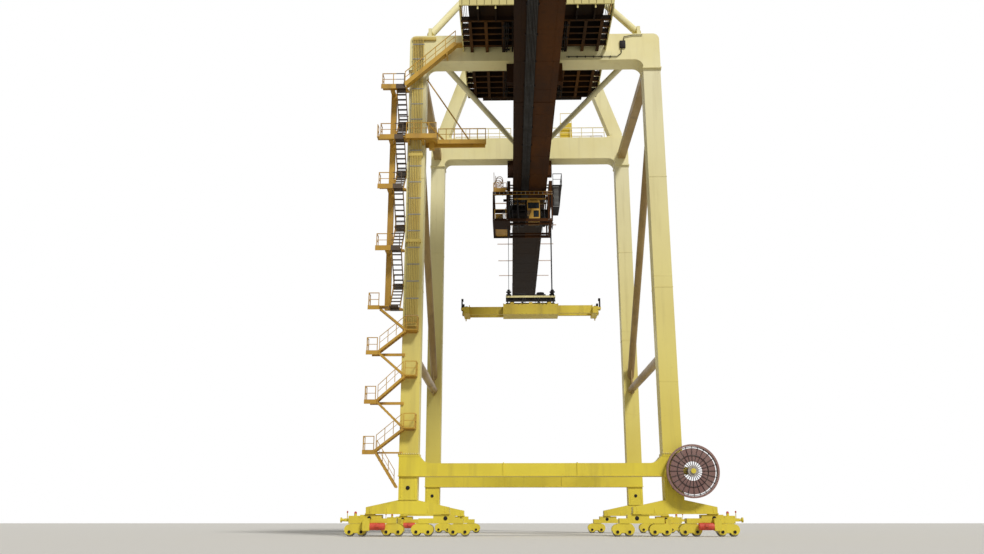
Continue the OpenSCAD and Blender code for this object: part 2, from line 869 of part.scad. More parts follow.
module stay_upper() {
    a = [126, y_water + 100, apex_z];
    b = [126, stay_y, hz + 70];
    u = (b - a) / norm(b - a);
    color(col_top)
        both() {
            bar(a + u * 20, a + u * (stay_up - 18), 15, 30);
            for (p = [a, a + u * stay_up])
                translate(p - [8, 0, 0])
                    rotate([0, 90, 0])
                        difference() {
                            cylinder(h = 16, r = 26, $fn = 40);
                            translate([0, 0, -1])
                                cylinder(h = 18, r = 12.05, $fn = 32);
                        }
        }
}

module stay_lower() {
    a = [88, y_water + 100, apex_z];
    b = [88, stay_y, hz + 70];
    u = (b - a) / norm(b - a);
    color(col_top)
        both() {
            bar(a + u * (stay_up + 18), b - u * 20, 15, 30);
            for (p = [b, a + u * stay_up])
                translate(p - [8, 0, 0])
                    rotate([0, 90, 0])
                        difference() {
                            cylinder(h = 16, r = 26, $fn = 40);
                            translate([0, 0, -1])
                                cylinder(h = 18, r = 12.05, $fn = 32);
                        }
        }
}

// Trolley frame below the girder with hangers up to the rails
module trolley_frame() {
    y0 = trol_y - trol_l;
    y1 = trol_y + trol_l;
    color(col_yel) {
        for (y = [y0, y1 - 20])
            bx(-344, 210, y, y + 20, 3008, 3038);
        for (y = [y0, y1 - 20])
            bx(-344, 210, y, y + 20, trol_z, trol_z + 24);
        both()
            bx(182, 210, y0 + 20.3, y1 - 20.3, 3008, 3048);
        both()
            bx(180, 210, y0 + 20.3, y1 - 20.3, 3048.3, 3150);
        bx(-344, -324, y0 + 20.3, y1 - 20.3, trol_z, trol_z + 24);
        bx(-344, -324, y0 + 20.3, y1 - 20.3, 3012, 3032);
    }
    color(col_gir) {
        for (x = [-344, -218, 166, 196])
            for (y = [y0, y1 - 16])
                bx(x, x + 14, y, y + 16, trol_z + 24.3, 3007.7);
        for (y = [y0 + 110, y1 - 106])
            bx(-181.7, 181.7, y, y + 16, trol_z + 4, trol_z + 20);
        for (x = [-174, -156, 156, 174])
            bx(x - 4, x + 4, y0 + 16.3, y1 - 16.3, 2978, 3007.7);
        for (x = [-206, 182])
            bx(x, x + 24, y0 + 20.3, y1 - 20.3, trol_z, trol_z + 20);
        bx(-323.7, -206.3, y0 + 20.3, y0 + 240, trol_z, trol_z + 6);
    }
}

module trolley_wheels() {
    color(col_steel)
        both()
            for (y = [-190, -120, 120, 190])
                translate([rail_x - 11, trol_y + y, gir_z + 20 + 24.5])
                    rotate([0, 90, 0]) {
                        cylinder(h = 24, r = 24, $fn = 40);
                        cylinder(h = 50.7, r = 7, $fn = 24);
                    }
}

module trolley_platform() {
    y0 = trol_y - trol_l;
    y1 = trol_y + trol_l;
    color(col_str) {
        bx(-323.7, -210, y0 + 240.3, y1 - 20.3, trol_z + 14, trol_z + 20);
        fence([-338, y0 + 20, trol_z + 24.3], [-338, y1 - 20, trol_z + 24.3], 4, 90, 5);
        fence([-324, y0 + 4, trol_z + 24.3], [-222, y0 + 4, trol_z + 24.3], 1, 90, 5);
    }
    color(col_grey) {
        bx(-330, -222, y0 + 2, y0 + 70, 3038.3, 3076);
        bx(-320, -250, y0 + 60, y0 + 130, trol_z + 6.3, trol_z + 90);
        bx(-300, -240, y0 + 140, y0 + 230, trol_z + 6.3, trol_z + 60);
    }
}

// Operator cab hung at the landside end of the trolley
module cab_shell() {
    y0 = trol_y - trol_l + 2;
    color(col_yel) {
        difference() {
            bx(-24, 92, y0 + 34, y0 + 210, 2870, 2962);
            bx(-16, 84, y0 + 20, y0 + 202, 2886, 2940);
            bx(-40, 110, y0 + 56, y0 + 180, 2890, 2936);
        }
        difference() {
            translate([0, y0 + 190, 0])
                rotate([90, 0, 0])
                    linear_extrude(190)
                        polygon([[-14, 2774.3], [92, 2774.3], [92, 2870], [18, 2870]]);
            bx(34, 80, y0 - 10, y0 + 182, 2790, 2850);
            bx(60, 120, y0 + 30, y0 + 170, 2794, 2846);
        }
    }
    color(col_gir) {
        bx(-20, 0, y0 + 50, y0 + 190, 2962, 2980);
        bx(70, 90, y0 + 50, y0 + 190, 2962, 2980);
        bx(-151.7, 151.7, y0 + 54, y0 + 70, 2980, 2994);
        bx(-151.7, 151.7, y0 + 174, y0 + 190, 2980, 2994);
    }
}

module cab_windows() {
    y0 = trol_y - trol_l + 2;
    color(col_glass) {
        bx(34.2, 79.8, y0 + 2, y0 + 6, 2790.2, 2849.8);
        bx(-15.8, 83.8, y0 + 36, y0 + 40, 2886.2, 2939.8);
        bx(86, 90, y0 + 30.2, y0 + 169.8, 2794.2, 2845.8);
        bx(-22, -18, y0 + 56.2, y0 + 179.8, 2890.2, 2935.8);
        bx(86, 90, y0 + 56.2, y0 + 179.8, 2890.2, 2935.8);
    }
}

module trolley_cabinet() {
    y0 = trol_y - trol_l;
    color(col_dark) {
        translate([0, y0 + 230, 0])
            rotate([90, 0, 0])
                linear_extrude(220)
                    polygon([[210.3, 2880], [272, 2880], [296, 3098], [210.3, 3098]]);
    }
    color(col_yel) {
        bx(210.3, 300, y0 + 6, y0 + 234, 3098, 3104);
        fence([297, y0 + 9, 3104], [297, y0 + 231, 3104], 2, 110, 5);
        fence([216, y0 + 9, 3104], [297, y0 + 9, 3104], 1, 110, 5);
    }
}

// Hoist ropes between the trolley and the headblock sheaves
module hoist_ropes() {
    color(col_dark)
        both()
            for (y = [-50, 50])
                for (f = [-28, 28])
                    translate([200, trol_y + y + f, 2128])
                        cylinder(h = trol_z - 0.3 - 2128, r = 3, $fn = 16);
}

module headblock() {
    color(col_yel) {
        bx(-227, 227, trol_y - 60, trol_y + 60, 2072, 2094);
        for (x = [-216, -80, 70, 206])
            bx(x, x + 10, trol_y - 56, trol_y + 56, 2040, 2072);
        bx(-227, 227, trol_y - 60, trol_y - 52, 2036, 2052);
        bx(-227, 227, trol_y + 52, trol_y + 60, 2036, 2052);
        both()
            for (y = [-50, 50])
                for (t = [-15, 11])
                    translate([200 + t, trol_y + y, 2128])
                        rotate([0, 90, 0]) {
                            cylinder(h = 4, r = 20, $fn = 40);
                            translate([0, -20, 0])
                                cube([40, 40, 4]);
                        }
    }
    color(col_dark) {
        both()
            for (y = [-50, 50])
                translate([190, trol_y + y, 2128])
                    rotate([0, 90, 0])
                        cylinder(h = 20, r = 24.5, $fn = 40);
        both()
            for (y = [-50, 50])
                translate([180, trol_y + y, 2128])
                    rotate([0, 90, 0])
                        cylinder(h = 40, r = 6, $fn = 24);
        both()
            bx(150, 190, trol_y - 54, trol_y + 54, 2009.3, 2040);
    }
}

module spreader_frame() {
    translate([0, 0, spr_z]) {
        color(col_yel) {
            difference() {
                bx(-251, 251, trol_y - 100, trol_y + 100, 4, 100);
                for (y = [-72, -24, 24, 72])
                    bx(-270, 270, trol_y + y - 20, trol_y + y + 20, 10, 94);
            }
            for (y = [-72, -24, 24, 72])
                both() {
                    bx(229, 249, trol_y + y - 14, trol_y + y + 14, 9, 15.7);
                    bx(229, 249, trol_y + y - 14, trol_y + y + 14, 88.3, 95);
                }
            for (x = [-251, -90, 84, 245])
                bx(x, x + 6, trol_y - 104, trol_y + 104, 98, 104);
            for (x = [-251, 245])
                for (y = [-102, 96])
                    bx(x, x + 6, trol_y + y, trol_y + y + 6, 4, 104);
        }
        color(col_dark)
            both()
                bx(150, 190, trol_y - 50, trol_y + 50, 100, 104);
    }
}

// Telescopic arm with end beam and corner guide brackets
module arm(ys) {
    translate([0, 0, spr_z]) {
        color(col_yel) {
            for (y = ys)
                bx(90, 562, trol_y + y - 14, trol_y + y + 14, 16, 88);
            bx(560, 612, trol_y - 122, trol_y + 122, 9, 69);
            bx(556, 562, trol_y - 92, trol_y + 92, 12, 92);
            for (s = [-1, 1])
                for (t = [-1, 1])
                    bx(600, 634, trol_y + s * 100 + t * 22 - 3, trol_y + s * 100 + t * 22 + 3, 39, 61);
            for (s = [-1, 1])
                translate([626, trol_y + s * 100, 49])
                    rotate([90, 0, 0])
                        cylinder(h = 48, r = 4, center = true, $fn = 32);
        }
    }
}

module spreader_arm_left() {
    mirror([1, 0, 0])
        arm([-24, 72]);
    pins(-lock_x);
}

module spreader_arm_right() {
    arm([-72, 24]);
    pins(lock_x);
}

// Twistlock pins below the end beam
module pins(x) {
    translate([0, 0, spr_z]) {
        color(col_steel)
            for (s = [-1, 1])
                translate([x, trol_y + s * lock_y, -11]) {
                    cylinder(h = 20, r = 5, $fn = 32);
                    cylinder(h = 6, r = 3, $fn = 32);
                }
    }
}

// Corner guides that swing down over the ends of a load, shown raised
module flip() {
    translate([0, 0, spr_z]) {
        color(col_yel)
            for (s = [-1, 1])
                difference() {
                    union() {
                        translate([626, trol_y + s * 100, 49])
                            rotate([90, 0, 0])
                                cylinder(h = 34, r = 7, center = true, $fn = 32);
                        bx(620, 632, trol_y + s * 100 - 14, trol_y + s * 100 + 14, 49, 129);
                        bx(614, 632, trol_y + s * 100 - 17, trol_y + s * 100 + 17, 125, 145);
                    }
                    translate([626, trol_y + s * 100, 49])
                        rotate([90, 0, 0])
                            cylinder(h = 60, r = 4.05, center = true, $fn = 32);
                }
    }
}

module flippers_left() {
    mirror([1, 0, 0])
        flip();
}

module flippers_right() {
    flip();
}

sill_beam_land();
sill_beam_water();
leg_land_left();
leg_land_right();
leg_water_left();
leg_water_right();
crossbeam_land();
crossbeam_water();
side_frame_left();
side_frame_right();
plan_braces();
pylon_left();
pylon_right();
apex_beam();
backstay_left();
backstay_right();
land_girder();
girder_rails();
cable_trough();
machinery_platform();
platform_railings();
house_walls();
house_roof();
house_fittings();
lower_stair();
upper_stair();
leg_gallery();
leg_conduits();
water_walkway();
equalizers_land();
equalizers_water();
bogies_land();
bogies_water();
travel_wheels_land();
travel_wheels_water();
travel_motors();
buffer_arms();
reel_bracket();
cable_reel();
boom_box();
boom_walkways();
boom_railings();
stay_upper();
stay_lower();
trolley_frame();
trolley_wheels();
trolley_platform();
cab_shell();
cab_windows();
trolley_cabinet();
hoist_ropes();
headblock();
spreader_frame();
spreader_arm_left();
spreader_arm_right();
flippers_left();
flippers_right();
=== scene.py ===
"""Quayside container crane, 1:10 scale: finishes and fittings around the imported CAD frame."""
import math
import bmesh
import bpy
from mathutils import Matrix, Vector


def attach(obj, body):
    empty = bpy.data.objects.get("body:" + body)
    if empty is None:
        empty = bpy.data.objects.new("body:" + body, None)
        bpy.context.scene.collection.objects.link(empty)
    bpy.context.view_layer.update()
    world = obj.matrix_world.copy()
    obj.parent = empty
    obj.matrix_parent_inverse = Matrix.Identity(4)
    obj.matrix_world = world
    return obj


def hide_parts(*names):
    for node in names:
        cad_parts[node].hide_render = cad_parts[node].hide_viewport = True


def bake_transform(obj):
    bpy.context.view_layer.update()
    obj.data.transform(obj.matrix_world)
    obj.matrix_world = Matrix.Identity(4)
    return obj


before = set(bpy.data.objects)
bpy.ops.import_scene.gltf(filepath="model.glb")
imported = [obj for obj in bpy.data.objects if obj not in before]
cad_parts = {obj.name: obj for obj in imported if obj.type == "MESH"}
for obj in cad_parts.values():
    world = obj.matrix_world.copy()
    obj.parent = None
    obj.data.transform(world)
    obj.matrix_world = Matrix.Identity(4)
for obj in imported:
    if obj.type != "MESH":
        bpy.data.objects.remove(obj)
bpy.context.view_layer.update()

bl_info = {
    "name": "Quayside crane dresser",
    "version": (1, 0, 0),
    "blender": (4, 5, 0),
    "location": "View3D > Sidebar > Crane",
    "description": "Finishes and fittings for a 1:10 quayside container crane",
    "category": "Object",
}

# One millimetre, in metres
MM = 0.001

# Centre lines and levels of the CAD at rest, in mm. X runs along the quay and Y out to the water.
# LAND and WATER are the planes of the two pairs of legs, and LEG is a leg's distance from the
# middle plane. The SEAM levels are a bead's on the girder's underside.
BOTH = (-1, 1)
LAND, WATER = -2300, -500
LEG = 850
CORNERS = [(sx, y) for y in (LAND, WATER) for sx in BOTH]
AXLE_Z = 29
WHEELS = [(sx * (LEG + s * bogie + wheel), y) for sx, y in CORNERS
          for s in BOTH for bogie in (95, 330) for wheel in (-38, 38)]
MOTOR_X, MOTOR_Y, MOTOR_Z = LEG + 145, -62.3, 62
REEL_X, REEL_Z = 962, 400
TROLLEY = -240
FRONT, BACK = TROLLEY - 255, TROLLEY + 255
SHEAVE_X, SHEAVE_Z = 200, 2128
SEAM_LOW, SEAM_HIGH = 3079, 3080.6
WALL_MIDDLE, WALL_HEIGHT = 3785, 438

# Half the depth of a window frame, in mm
FRAME_DEPTH = 3


def tone(code):
    """Turns an sRGB hex value to a linear colour."""
    parts = [int(code[i:i + 2], 16) / 255 for i in (1, 3, 5)]
    linear = [c / 12.92 if c <= 0.04045 else ((c + 0.055) / 1.055) ** 2.4 for c in parts]
    return (*linear, 1.0)


def add(tree, kind, values=None, links=None, **settings):
    """Adds a shader node with its settings, socket values and links."""
    node = tree.nodes.new(kind)
    for key, value in settings.items():
        setattr(node, key, value)
    for key, value in (values or {}).items():
        node.inputs[key].default_value = value
    for key, source in (links or {}).items():
        tree.links.new(source, node.inputs[key])
    return node


def start_material(name):
    """Makes an empty material with its object coordinates."""
    material = bpy.data.materials.new(name)
    material.use_nodes = True
    tree = material.node_tree
    tree.nodes.clear()
    coords = add(tree, "ShaderNodeTexCoord")
    return material, tree, coords.outputs["Object"]


def finish_material(material, tree, colour, roughness, height,
                    metallic=0.0, depth=0.0004, shine=0.5):
    """Joins colour, roughness and height to a principled shader."""
    bump = add(tree, "ShaderNodeBump", {"Strength": 0.6, "Distance": depth}, {"Height": height})
    shader = add(tree, "ShaderNodeBsdfPrincipled",
                 {"Metallic": metallic, "Specular IOR Level": shine},
                 {"Base Color": colour, "Roughness": roughness, "Normal": bump.outputs["Normal"]})
    add(tree, "ShaderNodeOutputMaterial", None, {"Surface": shader.outputs["BSDF"]})
    material.diffuse_color = (0.6, 0.6, 0.6, 1)
    return material


def noise(tree, coords, per_metre, detail, stretch=(1, 1, 1), rough=0.55):
    """Noise at a real density, stretched for streaks where asked."""
    mapped = add(tree, "ShaderNodeMapping", {"Scale": stretch}, {"Vector": coords})
    return add(tree, "ShaderNodeTexNoise",
               {"Scale": per_metre, "Detail": detail, "Roughness": rough},
               {"Vector": mapped.outputs["Vector"]}).outputs["Fac"]


def band(tree, source, low, high):
    """Maps a narrow range of a pattern to 0 to 1."""
    return add(tree, "ShaderNodeMapRange", {"From Min": low, "From Max": high},
               {"Value": source}).outputs["Result"]


def ranged(tree, source, low, high):
    """Maps 0 to 1 to a range, such as a range of roughness."""
    return add(tree, "ShaderNodeMapRange", {"To Min": low, "To Max": high},
               {"Value": source}).outputs["Result"]


def mixed(tree, factor, under, over):
    """Lays one colour over another; each is a socket or a linear colour."""
    node = add(tree, "ShaderNodeMix", None, {0: factor}, data_type="RGBA")
    for index, source in ((6, under), (7, over)):
        if isinstance(source, tuple):
            node.inputs[index].default_value = source
        else:
            tree.links.new(source, node.inputs[index])
    return node.outputs[2]


def reckon(tree, operation, values=None, links=None):
    """One step of arithmetic on sockets."""
    return add(tree, "ShaderNodeMath", values, links, operation=operation).outputs[0]


def scaled(tree, source, amount):
    """A mask made weaker."""
    return reckon(tree, "MULTIPLY", {1: amount}, {0: source})


def either(tree, first, second):
    """Gives 1 where one of two masks does."""
    return reckon(tree, "MAXIMUM", None, {0: first, 1: second})


def overlap(tree, first, second):
    """Gives 1 where both masks do."""
    return reckon(tree, "MULTIPLY", None, {0: first, 1: second})


def axis(tree, coords, letter):
    """One of the three distances of a place, in metres."""
    return add(tree, "ShaderNodeSeparateXYZ", None, {0: coords}).outputs[letter]


def from_middle(tree, coords):
    """The distance from the crane's middle plane, in metres."""
    return reckon(tree, "ABSOLUTE", None, {0: axis(tree, coords, "X")})


def beyond(tree, source, limit):
    """Gives 1 where a distance is past the limit, else 0."""
    return reckon(tree, "GREATER_THAN", {1: limit}, {0: source})


def short_of(tree, source, limit):
    """Gives 1 where a distance is short of the limit, else 0."""
    return reckon(tree, "GREATER_THAN", {0: limit}, {1: source})


def between(tree, coords, letter, low, high):
    """Gives 1 in a slab across one axis."""
    place = axis(tree, coords, letter)
    return overlap(tree, beyond(tree, place, low), short_of(tree, place, high))


def zoned(tree, coords, colour, zones):
    """Lays the colour of each zone over a coat, where it has zones."""
    for mask, code in (zones(tree, coords) if zones else ()):
        colour = mixed(tree, mask, colour, tone(code))
    return colour


def enamel(name, paint, shade, grime_and_shade, gloss=0.42, streak_and_shade=0.5, spots=0.5, fade=None, zones=None):
    """Sprayed alkyd machinery enamel: a satin coat that chalks, streaks and rusts in spots; on the
    conduits the dark streaks are also painted shade between the pipes.
    """
    material, tree, coords = start_material(name)
    patches = band(tree, noise(tree, coords, 2.2, 5), 0.35, 0.68)
    runs_and_shade_lines = band(tree, noise(tree, coords, 16, 7, (1, 1, 0.07)), 0.52, 0.74)
    chips = band(tree, noise(tree, coords, 46, 9, (1, 1, 0.8), 0.7), 0.64, 0.72)
    colour = mixed(tree, patches, tone(paint), tone(shade))
    if fade:
        low, high, pale = fade
        colour = mixed(tree, band(tree, axis(tree, coords, "Z"), low, high), colour, tone(pale))
    colour = zoned(tree, coords, colour, zones)
    # Dark vertical runs: grime streaks, and on the conduits also painted shade lines between the
    # pipes.
    colour = mixed(tree, scaled(tree, runs_and_shade_lines, streak_and_shade), colour, tone(grime_and_shade))
    colour = mixed(tree, scaled(tree, chips, spots), colour, tone("#7a4a24"))
    roughness = ranged(tree, patches, gloss, gloss + 0.2)
    return finish_material(material, tree, colour, roughness, noise(tree, coords, 140, 3))


def plate_steel(name, base, rusty, gloss=0.55, amount=0.6, zones=None):
    """Painted plate gone brown: dark paint under a film of dust and flash rust."""
    material, tree, coords = start_material(name)
    film = band(tree, noise(tree, coords, 5, 8, (1, 0.35, 1)), 0.38, 0.7)
    blooms = band(tree, noise(tree, coords, 24, 8), 0.55, 0.75)
    colour = mixed(tree, scaled(tree, film, amount), tone(base), tone(rusty))
    colour = mixed(tree, scaled(tree, blooms, 0.4), colour, tone("#1c130d"))
    colour = zoned(tree, coords, colour, zones)
    return finish_material(material, tree, colour, ranged(tree, film, gloss, 0.9),
                           noise(tree, coords, 90, 5), depth=0.0008, shine=0.2)


def bright_steel(name, base):
    """Steel worn bright by running, with fine scratches along the run."""
    material, tree, coords = start_material(name)
    scratch = noise(tree, coords, 260, 4, (1, 0.05, 1))
    colour = mixed(tree, scratch, tone(base), tone("#6f6a63"))
    return finish_material(material, tree, colour, ranged(tree, scratch, 0.3, 0.55), scratch,
                           metallic=0.9)


def cab_glass(name):
    """Tinted laminated glass: near black, glossy, with a faint dusty film."""
    material, tree, coords = start_material(name)
    film = noise(tree, coords, 18, 5)
    colour = mixed(tree, film, tone("#1a2228"), tone("#333d44"))
    return finish_material(material, tree, colour, ranged(tree, film, 0.04, 0.14), film,
                           depth=0.00005)


def wire_rope(name):
    """Greased steel wire rope: near black with the lay of its strands as a slanted ripple."""
    material, tree, coords = start_material(name)
    lay = add(tree, "ShaderNodeTexWave", {"Scale": 60.0, "Distortion": 0.0}, {"Vector": coords},
              bands_direction="DIAGONAL").outputs["Fac"]
    colour = mixed(tree, lay, tone("#15171a"), tone("#3b3d3f"))
    return finish_material(material, tree, colour, ranged(tree, lay, 0.4, 0.6), lay, metallic=0.6)


def rubber(name):
    """Black neoprene cable sheath under a film of dust."""
    material, tree, coords = start_material(name)
    dust = band(tree, noise(tree, coords, 22, 6), 0.45, 0.75)
    colour = mixed(tree, scaled(tree, dust, 0.5), tone("#17171a"), tone("#3d3a35"))
    return finish_material(material, tree, colour, ranged(tree, dust, 0.5, 0.8),
                           noise(tree, coords, 160, 3), depth=0.0002)


def reel_zones(tree, coords):
    """A grey hub, dark spokes and the dusty brown pack of the supply reel."""
    hub_radius, spoke_radius, spoke_face = 0.0342, 0.154, -2.4109
    flat = add(tree, "ShaderNodeMapping",
               {"Scale": (1, 0, 1), "Location": (-REEL_X * MM, 0, -REEL_Z * MM)},
               {"Vector": coords})
    radius = add(tree, "ShaderNodeVectorMath", None, {0: flat.outputs[0]},
                 operation="LENGTH").outputs["Value"]
    inner = short_of(tree, radius, spoke_radius)
    front = short_of(tree, axis(tree, coords, "Y"), spoke_face)
    hub = short_of(tree, radius, hub_radius)
    return (overlap(tree, inner, front), "#2c1d19"), (hub, "#a39d95")


def platform_zones(tree, coords):
    """The cream fascia plates round the dark joists."""
    side = beyond(tree, from_middle(tree, coords), 0.5135)
    front = short_of(tree, axis(tree, coords, "Y"), -2.938)
    return ((either(tree, side, front), "#dccf8c"),)


def tread_shade_zones(tree, coords):
    """Painted shade: the treads between the orange stringers, darkened as if in shadow from below.
    """
    # Painted shade: a slab across X on the upper stair is coloured dark brown for the treads'
    # shadow.
    return ((between(tree, coords, "X", -0.996, -0.933), "#4a3a2a"),)


def walkway_zones(tree, coords):
    """The yellow cabinet on the cream walkway."""
    across = between(tree, coords, "X", 0.288, 0.402)
    return ((overlap(tree, across, between(tree, coords, "Y", -0.551, -0.469)), "#d9bb1f"),)


def motor_zones(tree, coords):
    """The yellow gearboxes at the outer ends of the red motors."""
    return ((beyond(tree, from_middle(tree, coords), 1.0835), "#d8c43a"),)


def girder_shade_zones(tree, coords):
    """Painted shade: a darker strip left of the cable trough, where the girder's underside lies in
    shadow.
    """
    left = short_of(tree, axis(tree, coords, "X"), -0.04)
    # Painted shade: near-black brown laid at 0.7 strength over all of the plate left of x = -0.04
    # m.
    return ((scaled(tree, left, 0.7), "#160a03"),)


def build_materials():
    """One finish for each real surface, named for what it is."""
    orange = ("#c59a35", "#ad8029", "#6d5330")
    return {
        "low": enamel("enamel_bogie_yellow", "#e2cf3e", "#d3bd35", "#a08a3c",
                      streak_and_shade=0.35, spots=0.35),
        "leg": enamel("enamel_leg_yellow", "#ddcb58", "#d5c04b", "#a8965a",
                      streak_and_shade=0.35, spots=0.25, fade=(0.5, 3.3, "#e2daae")),
        "top": enamel("enamel_cream_faded", "#ece3ae", "#e6d999", "#c4b47e",
                      streak_and_shade=0.3, spots=0.2),
        "stair": enamel("enamel_stair_orange", *orange, streak_and_shade=0.45),
        "walk": enamel("enamel_walkway_cream", "#e6dcae", "#dccd8f", "#b9a873",
                       streak_and_shade=0.35, spots=0.3, zones=walkway_zones),
        "tube": enamel("enamel_tube_tan", "#a98d58", "#967a48", "#6a5436"),
        "spread": enamel("enamel_spreader_yellow", "#dcc640", "#c9a838", "#8a7434", streak_and_shade=0.45),
        # Conduits: the dark, strong streaks are partly grime and partly painted shade in the gaps
        # between the pipes.
        "duct": enamel("enamel_conduit_yellow", "#d3bc62", "#bd9f45", "#6d5c34",
                       streak_and_shade=0.6, spots=0.3),
        # The girder plate carries painted shade on its left part, from its zones.
        "girder": plate_steel("plate_girder_brown", "#3a1f08", "#5e3509",
                              gloss=0.8, zones=girder_shade_zones),
        "platform": plate_steel("plate_platform_brown", "#170e07", "#40270d",
                                gloss=0.8, zones=platform_zones),
        "boom": plate_steel("plate_boom_grey", "#241a13", "#35271a", gloss=0.8, amount=0.5),
        "dark": plate_steel("plate_dark", "#1d1b1c", "#2f241d", amount=0.5),
        "joist": plate_steel("joist_flange_rust", "#3a240f", "#6b4518", gloss=0.8, amount=0.7),
        "zinc": plate_steel("galvanised_steel", "#9b9c99", "#85807a", gloss=0.4, amount=0.4),
        "rail": bright_steel("rail_steel", "#a9a6a0"),
        "red": enamel("enamel_motor_red", "#d8573e", "#c94a35", "#7d3a2c", zones=motor_zones),
        # The upper stair's finish: orange enamel, with painted shade on its treads.
        "tread": enamel("enamel_stair_painted_tread_shade", *orange, streak_and_shade=0.45, zones=tread_shade_zones),
        "pale": enamel("primer_pale_pink", "#dcc6b8", "#d3b9a9", "#a08a7c",
                       streak_and_shade=0.3, spots=0.3),
        "reel": enamel("enamel_reel_maroon", "#937269", "#84635b", "#a08c80", zones=reel_zones),
        "house": enamel("enamel_house_yellow", "#e7d67a", "#dfcc68", "#b5a162",
                        streak_and_shade=0.3, spots=0.15),
        "cord": enamel("cable_sheath_dusty", "#84665e", "#745550", "#98837a",
                       gloss=0.6, spots=0.0),
        "glass": cab_glass("laminated_glass"),
        "rope": wire_rope("wire_rope"),
        "rubber": rubber("cable_rubber"),
        "lens": enamel("beacon_lens", "#c8452c", "#b53b26", "#8a3a2c",
                       gloss=0.15, streak_and_shade=0.2, spots=0.0),
    }


NODE_FINISH = {
    "low": "sill_beam_land sill_beam_water equalizers_land equalizers_water "
           "bogies_land bogies_water buffer_arms reel_bracket",
    "leg": "leg_land_left leg_land_right leg_water_left leg_water_right plan_braces",
    "walk": "water_walkway",
    "tube": "side_frame_left side_frame_right",
    "spread": "spreader_frame spreader_arm_left spreader_arm_right",
    "top": "crossbeam_land crossbeam_water pylon_left pylon_right apex_beam "
           "backstay_left backstay_right stay_upper stay_lower boom_railings",
    "duct": "leg_conduits",
    "pale": "boom_walkways",
    "stair": "lower_stair leg_gallery trolley_platform cab_shell platform_railings",
    "tread": "upper_stair",
    "platform": "machinery_platform",
    "girder": "land_girder trolley_frame",
    "boom": "boom_box",
    "dark": "cable_trough trolley_cabinet hoist_ropes flippers_left flippers_right headblock",
    "rail": "girder_rails travel_wheels_land travel_wheels_water trolley_wheels",
    "zinc": "house_roof house_fittings",
    "house": "house_walls",
    "red": "travel_motors",
    "reel": "cable_reel",
    "glass": "cab_windows",
}


def at(x, y, z):
    """A place with its axes along the crane's."""
    return Matrix.Translation((x, y, z))


def aimed(x, y, z, direction):
    """A place whose Z looks along the direction."""
    return at(x, y, z) @ Vector(direction).to_track_quat("Z", "Y").to_matrix().to_4x4()


def cone(bm, radius, depth, place, segments=16, top=None):
    """A drum or cone standing on the place."""
    bmesh.ops.create_cone(bm, cap_ends=True, segments=segments, radius1=radius,
                          radius2=radius if top is None else top, depth=depth,
                          matrix=place @ at(0, 0, depth / 2))


def slab(bm, middle, size, bevel):
    """A box about its middle, with rounded edges."""
    made = bmesh.ops.create_cube(bm, size=1, matrix=at(*middle) @ Matrix.Diagonal((*size, 1)))
    edges = list({e for v in made["verts"] for e in v.link_edges})
    bmesh.ops.bevel(bm, geom=edges, offset=bevel, segments=2, profile=0.5,
                    affect="EDGES", material=-1)


def block(bm, low, high, bevel):
    """A box between two corners, with rounded edges."""
    slab(bm, [(a + b) / 2 for a, b in zip(low, high)], [b - a for a, b in zip(low, high)], bevel)


def hexbolt(bm, place, size):
    """A washer and a hexagon head, standing along the place's Z."""
    cone(bm, size * 0.72, size * 0.16, place, 12)
    cone(bm, size * 0.55, size * 0.5, place @ at(0, 0, size * 0.15), 6, size * 0.48)


def bolt_circle(bm, place, count, radius, height, size, start=0.0):
    """Bolts spread evenly round the place's Z, the first one at the start angle."""
    for i in range(count):
        turn = Matrix.Rotation(math.radians(start + i * 360 / count), 4, "Z")
        hexbolt(bm, place @ turn @ at(radius, 0, height), size)


def lathe(bm, place, profile, steps=40):
    """Spins a closed outline of (radius, height) points about the place's Z."""
    points = [bm.verts.new((r, 0, h)) for r, h in profile]
    edges = [bm.edges.new((p, q)) for p, q in zip(points, points[1:] + points[:1])]
    before = set(bm.verts) - set(points)
    bmesh.ops.spin(bm, geom=points + edges, cent=(0, 0, 0), axis=(0, 0, 1), dvec=(0, 0, 0),
                   angle=math.tau, steps=steps, use_merge=True, use_duplicate=False)
    bmesh.ops.transform(bm, matrix=place, verts=[v for v in bm.verts if v not in before])


def torus(bm, place, radius, thick, steps=40):
    """A ring of round section."""
    across = 8
    turn = math.tau / across
    lathe(bm, place, [(radius + thick * math.cos(i * turn), thick * math.sin(i * turn))
                      for i in range(across)], steps)


def tube(bm, points, radius, segments=8):
    """A pipe through the points, capped at both ends."""
    points = [Vector(p) for p in points]
    rings = []
    for i, p in enumerate(points):
        ahead = points[min(i + 1, len(points) - 1)] - points[max(i - 1, 0)]
        ring = bmesh.ops.create_circle(bm, segments=segments, radius=radius,
                                       matrix=aimed(*p, ahead))
        rings.append(ring["verts"])
    for pair in zip(rings, rings[1:]):
        both = [[e for e in {e for v in r for e in v.link_edges} if all(v in r for v in e.verts)]
                for r in pair]
        bmesh.ops.bridge_loops(bm, edges=both[0] + both[1])
    for r in (rings[0], rings[-1]):
        bmesh.ops.contextual_create(bm, geom=r)


def sagging(a, b, drop, steps=10):
    """Points of a cable that hangs between two clips."""
    a, b = Vector(a), Vector(b)
    shares = [i / steps for i in range(steps + 1)]
    return [a.lerp(b, t) - Vector((0, 0, drop * 4 * t * (1 - t))) for t in shares]


